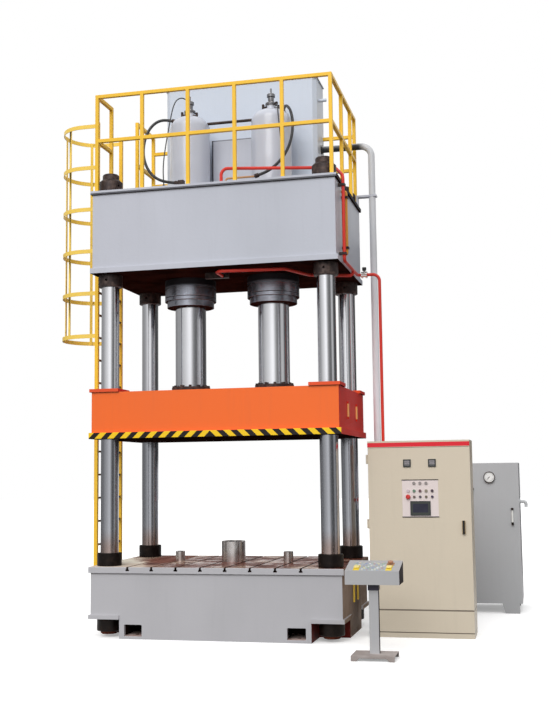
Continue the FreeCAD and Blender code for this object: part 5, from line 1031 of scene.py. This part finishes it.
def desk_finish(centre, normal):
    """Grey, with a shaded right side and lamps in the keys' colours, row by row."""
    if normal.x > FACING and centre.x > DESK_X + RIGHT_SIDE_BEYOND:
        return desk_shade
    local = on_slope.inverted() @ centre
    if local.z < NEAR / 2 or abs(local.x) > LAMPS_HALF_X:
        return desk_grey
    row = 2 if local.y > LAMPS_BACK_ROW else 0
    return keys[(round(local.x / LAMPS_PITCH) + 2 + row) % len(keys)]


def stand_finish(centre, normal):
    outside_post = abs(centre.x - DESK_X) > NECK_X or abs(centre.y - DESK_Y) > NECK_Y
    if centre.z > NECK_BOTTOM and abs(normal.z) < 0.5 and outside_post:
        return neck_black
    if centre.z < FOOT_TOP:
        return foot_dust
    return desk_shade if normal.x > FACING else desk_grey


dress("desk_box", [desk_grey, desk_shade, *keys], edge=0.001, pick=desk_finish)
dress("desk_stand", [desk_grey, neck_black, desk_shade, foot_dust], pick=stand_finish)
for node in ("left_palm_button", "right_palm_button"):
    dress(node, [palm_yellow_and_highlight], edge=0.004)
dress("desk_stop", [desk_stop_red], edge=0.0005)

PLATE_HALF_X, PLATE_FRONT, PLATE_BACK = 0.186, 0.010, 0.238
PLATE_UNDER, PLATE_TOP, KEY_FOOT, KEY_TOP, SIDE_KEY_TOP = -0.0003, 0.0012, 0.0008, 0.004, 0.005
PALM_BASES_X, PALM_BASES_Y = ((-0.174, -0.120), (0.120, 0.174)), (0.014, 0.150)
STOP_BASE_X, STOP_BASE_Y = (0.112, 0.182), (0.160, 0.232)
STEM_HOLE = 0.0095
KEYS_IN_ROW, KEY_PITCH, KEY_HALF_X, KEY_HALF_Y = 9, 0.023, 0.0085, 0.006
KEY_ROWS = (0.028, 0.055, 0.107, 0.132, 0.162, 0.222)
SIDE_KEY_HALF_X, SIDE_KEY_HALF_Y = 0.010, 0.009
SIDE_KEYS_X, SIDE_KEY_ROWS = (-0.165, -0.135), (0.17, 0.195, 0.22)


def holed_plate(shape, across, deep, index):
    """A plate on the slope in four blocks, which leave a square hole for the stem of a button."""
    (x0, x1), (y0, y1) = across, deep
    middle = Vector(((x0 + x1) / 2, (y0 + y1) / 2))
    left, right = middle.x - STEM_HOLE, middle.x + STEM_HOLE
    front, back = middle.y - STEM_HOLE, middle.y + STEM_HOLE
    for low, high in (((x0, y0), (left, y1)), ((left, y0), (right, front)),
                      ((right, y0), (x1, y1)), ((left, back), (right, y1))):
        block(shape, (*low, KEY_FOOT), (*high, KEY_TOP), index, on_slope)


def key(shape, x, y, half_x, half_y, high, index):
    block(shape, (x - half_x, y - half_y, KEY_FOOT), (x + half_x, y + half_y, high), index, on_slope)


desk_top = bmesh.new()
block(desk_top, (-PLATE_HALF_X, PLATE_FRONT, PLATE_UNDER), (PLATE_HALF_X, PLATE_BACK, PLATE_TOP), 0, on_slope)
for base_x in PALM_BASES_X:
    holed_plate(desk_top, base_x, PALM_BASES_Y, 1)
holed_plate(desk_top, STOP_BASE_X, STOP_BASE_Y, 2)
top_finishes = [key_plate, yellow_square, stop_plate, *keys]
first_key = top_finishes.index(keys[0])
for line, y in enumerate(KEY_ROWS):
    for i in range(KEYS_IN_ROW):
        x = (i - KEYS_IN_ROW // 2) * KEY_PITCH
        index = first_key + (i * 2 + line * 3) % len(keys)
        key(desk_top, x, y, KEY_HALF_X, KEY_HALF_Y, KEY_TOP, index)
for i, x in enumerate(SIDE_KEYS_X):
    for line, y in enumerate(SIDE_KEY_ROWS):
        index = first_key + (i * 3 + line) % len(keys)
        key(desk_top, x, y, SIDE_KEY_HALF_X, SIDE_KEY_HALF_Y, SIDE_KEY_TOP, index)
placed("desk_control_plate", desk_top, top_finishes, "frame", smooth=False)

# ---- Studio ----
# A floor that reads as white and keeps a soft shadow, a soft main light from the front left, an even sky,
# and a ring of light and dark cards that is seen only in what the metal and the enamel reflect.
FLOOR_HALF = 60
FLOOR_LIFT = 0.30
SKY = 0.80
floor_mesh = bpy.data.meshes.new("floor")
floor_shape = bmesh.new()
bmesh.ops.create_grid(floor_shape, x_segments=1, y_segments=1, size=FLOOR_HALF)
floor_shape.to_mesh(floor_mesh)
floor_shape.free()
floor = bpy.data.objects.new("floor", floor_mesh)
bpy.context.scene.collection.objects.link(floor)


def background_rays(tree):
    """1 for rays that should meet the white background: the camera's, and those off or through polish."""
    path = tree.nodes.new("ShaderNodeLightPath").outputs
    polished = Field(tree, path["Is Camera Ray"]) + Field(tree, path["Is Glossy Ray"])
    return polished + Field(tree, path["Is Transmission Ray"])


floor_paint = bpy.data.materials.new("studio_floor")
floor_paint.use_nodes = True
tree = floor_paint.node_tree
tree.nodes.clear()
seen = background_rays(tree)
pale = seen.node("BsdfDiffuse", {"Color": (0.9, 0.9, 0.9, 1)})
lift = seen.node("Emission", {"Color": (1, 1, 1, 1), "Strength": FLOOR_LIFT})
white = seen.node("AddShader", {0: pale, 1: lift})
dark = seen.node("BsdfDiffuse", {"Color": (0.06, 0.055, 0.05, 1)})
mixed = seen.node("MixShader", {0: seen, 1: dark, 2: white})
tree.links.new(mixed.socket, tree.nodes.new("ShaderNodeOutputMaterial").inputs["Surface"])
floor_mesh.materials.append(floor_paint)

# Each card's direction in degrees, from the front and to the right, and its brightness. The ring is dimmer
# low down, and behind the press its lower part is nearly as white as the background.
RING_RADIUS, RING_HEIGHT = 7, 5.6
CARDS = [(-180, 0.22), (-110, 0.25), (-90, 0.33), (-70, 0.32), (-50, 0.52), (-22, 0.72), (4, 1.0), (15, 0.95),
         (24, 0.55), (34, 0.28), (46, 0.16), (62, 0.14), (70, 0.50), (86, 0.46), (96, 0.08), (145, 0.06),
         (180, 0.20)]
DIMMED, DIM_BELOW = 0.72, (2.1, 3.4)
BEHIND, BEHIND_BRIGHT, BEHIND_BELOW = (0.425, 0.432), 0.85, (1.7, 2.1)
cards_shape = bmesh.new()
bmesh.ops.create_cone(cards_shape, cap_ends=False, segments=64, radius1=RING_RADIUS, radius2=RING_RADIUS,
                      depth=RING_HEIGHT, matrix=Matrix.Translation((0, 0, RING_HEIGHT / 2)))
cards_mesh = bpy.data.meshes.new("reflection_cards")
cards_shape.to_mesh(cards_mesh)
cards_shape.free()
cards = bpy.data.objects.new("reflection_cards", cards_mesh)
bpy.context.scene.collection.objects.link(cards)
for kind in ("camera", "diffuse", "transmission", "volume_scatter", "shadow"):
    setattr(cards, "visible_" + kind, False)

card_paint = bpy.data.materials.new("reflection_cards")
card_paint.use_nodes = True
tree = card_paint.node_tree
tree.nodes.clear()
place = Field(tree, tree.nodes.new("ShaderNodeTexCoord").outputs["Object"])
turn = place.math("ARCTAN2", place.axis("X"), place.axis("Y") * -1.0) / math.tau + 0.5
stops = [(degrees / 360 + 0.5, (brightness,) * 3) for degrees, brightness in CARDS]
cards_light = turn.node("ValToRGB", {"Fac": turn}, stops=stops)
fade = place.axis("Z").above(*DIM_BELOW) * (1 - DIMMED) + DIMMED
darker_high = place.axis("Z").above(*BEHIND_BELOW) * BEHIND_BRIGHT
behind = abs(turn - 0.5).above(*BEHIND) * (BEHIND_BRIGHT - darker_high)
glow = turn.node("Emission", {"Color": turn.math("MAXIMUM", fade * cards_light, behind)})
tree.links.new(glow.socket, tree.nodes.new("ShaderNodeOutputMaterial").inputs["Surface"])
cards_mesh.materials.append(card_paint)

SUN_STRENGTH = 1.9
SUN_SPREAD = math.radians(40)
SUN_WAY = Vector((0.06, 1.0, -0.72))
sun = bpy.data.objects.new("main_light", bpy.data.lights.new("main_light", "SUN"))
sun.data.energy = SUN_STRENGTH
sun.data.angle = SUN_SPREAD
sun.rotation_euler = SUN_WAY.to_track_quat("-Z", "Y").to_euler()
bpy.context.scene.collection.objects.link(sun)

world = bpy.data.worlds.new("studio")
bpy.context.scene.world = world
world.use_nodes = True
tree = world.node_tree
tree.nodes.clear()
seen = background_rays(tree)
sky = seen.node("Background", {"Color": (1, 1, 1, 1), "Strength": SKY})
white = seen.node("Background", {"Color": (1, 1, 1, 1), "Strength": 1.0})
mixed = seen.node("MixShader", {0: seen, 1: sky, 2: white})
tree.links.new(mixed.socket, tree.nodes.new("ShaderNodeOutputWorld").inputs["Surface"])
bpy.context.scene.view_settings.view_transform = "Standard"
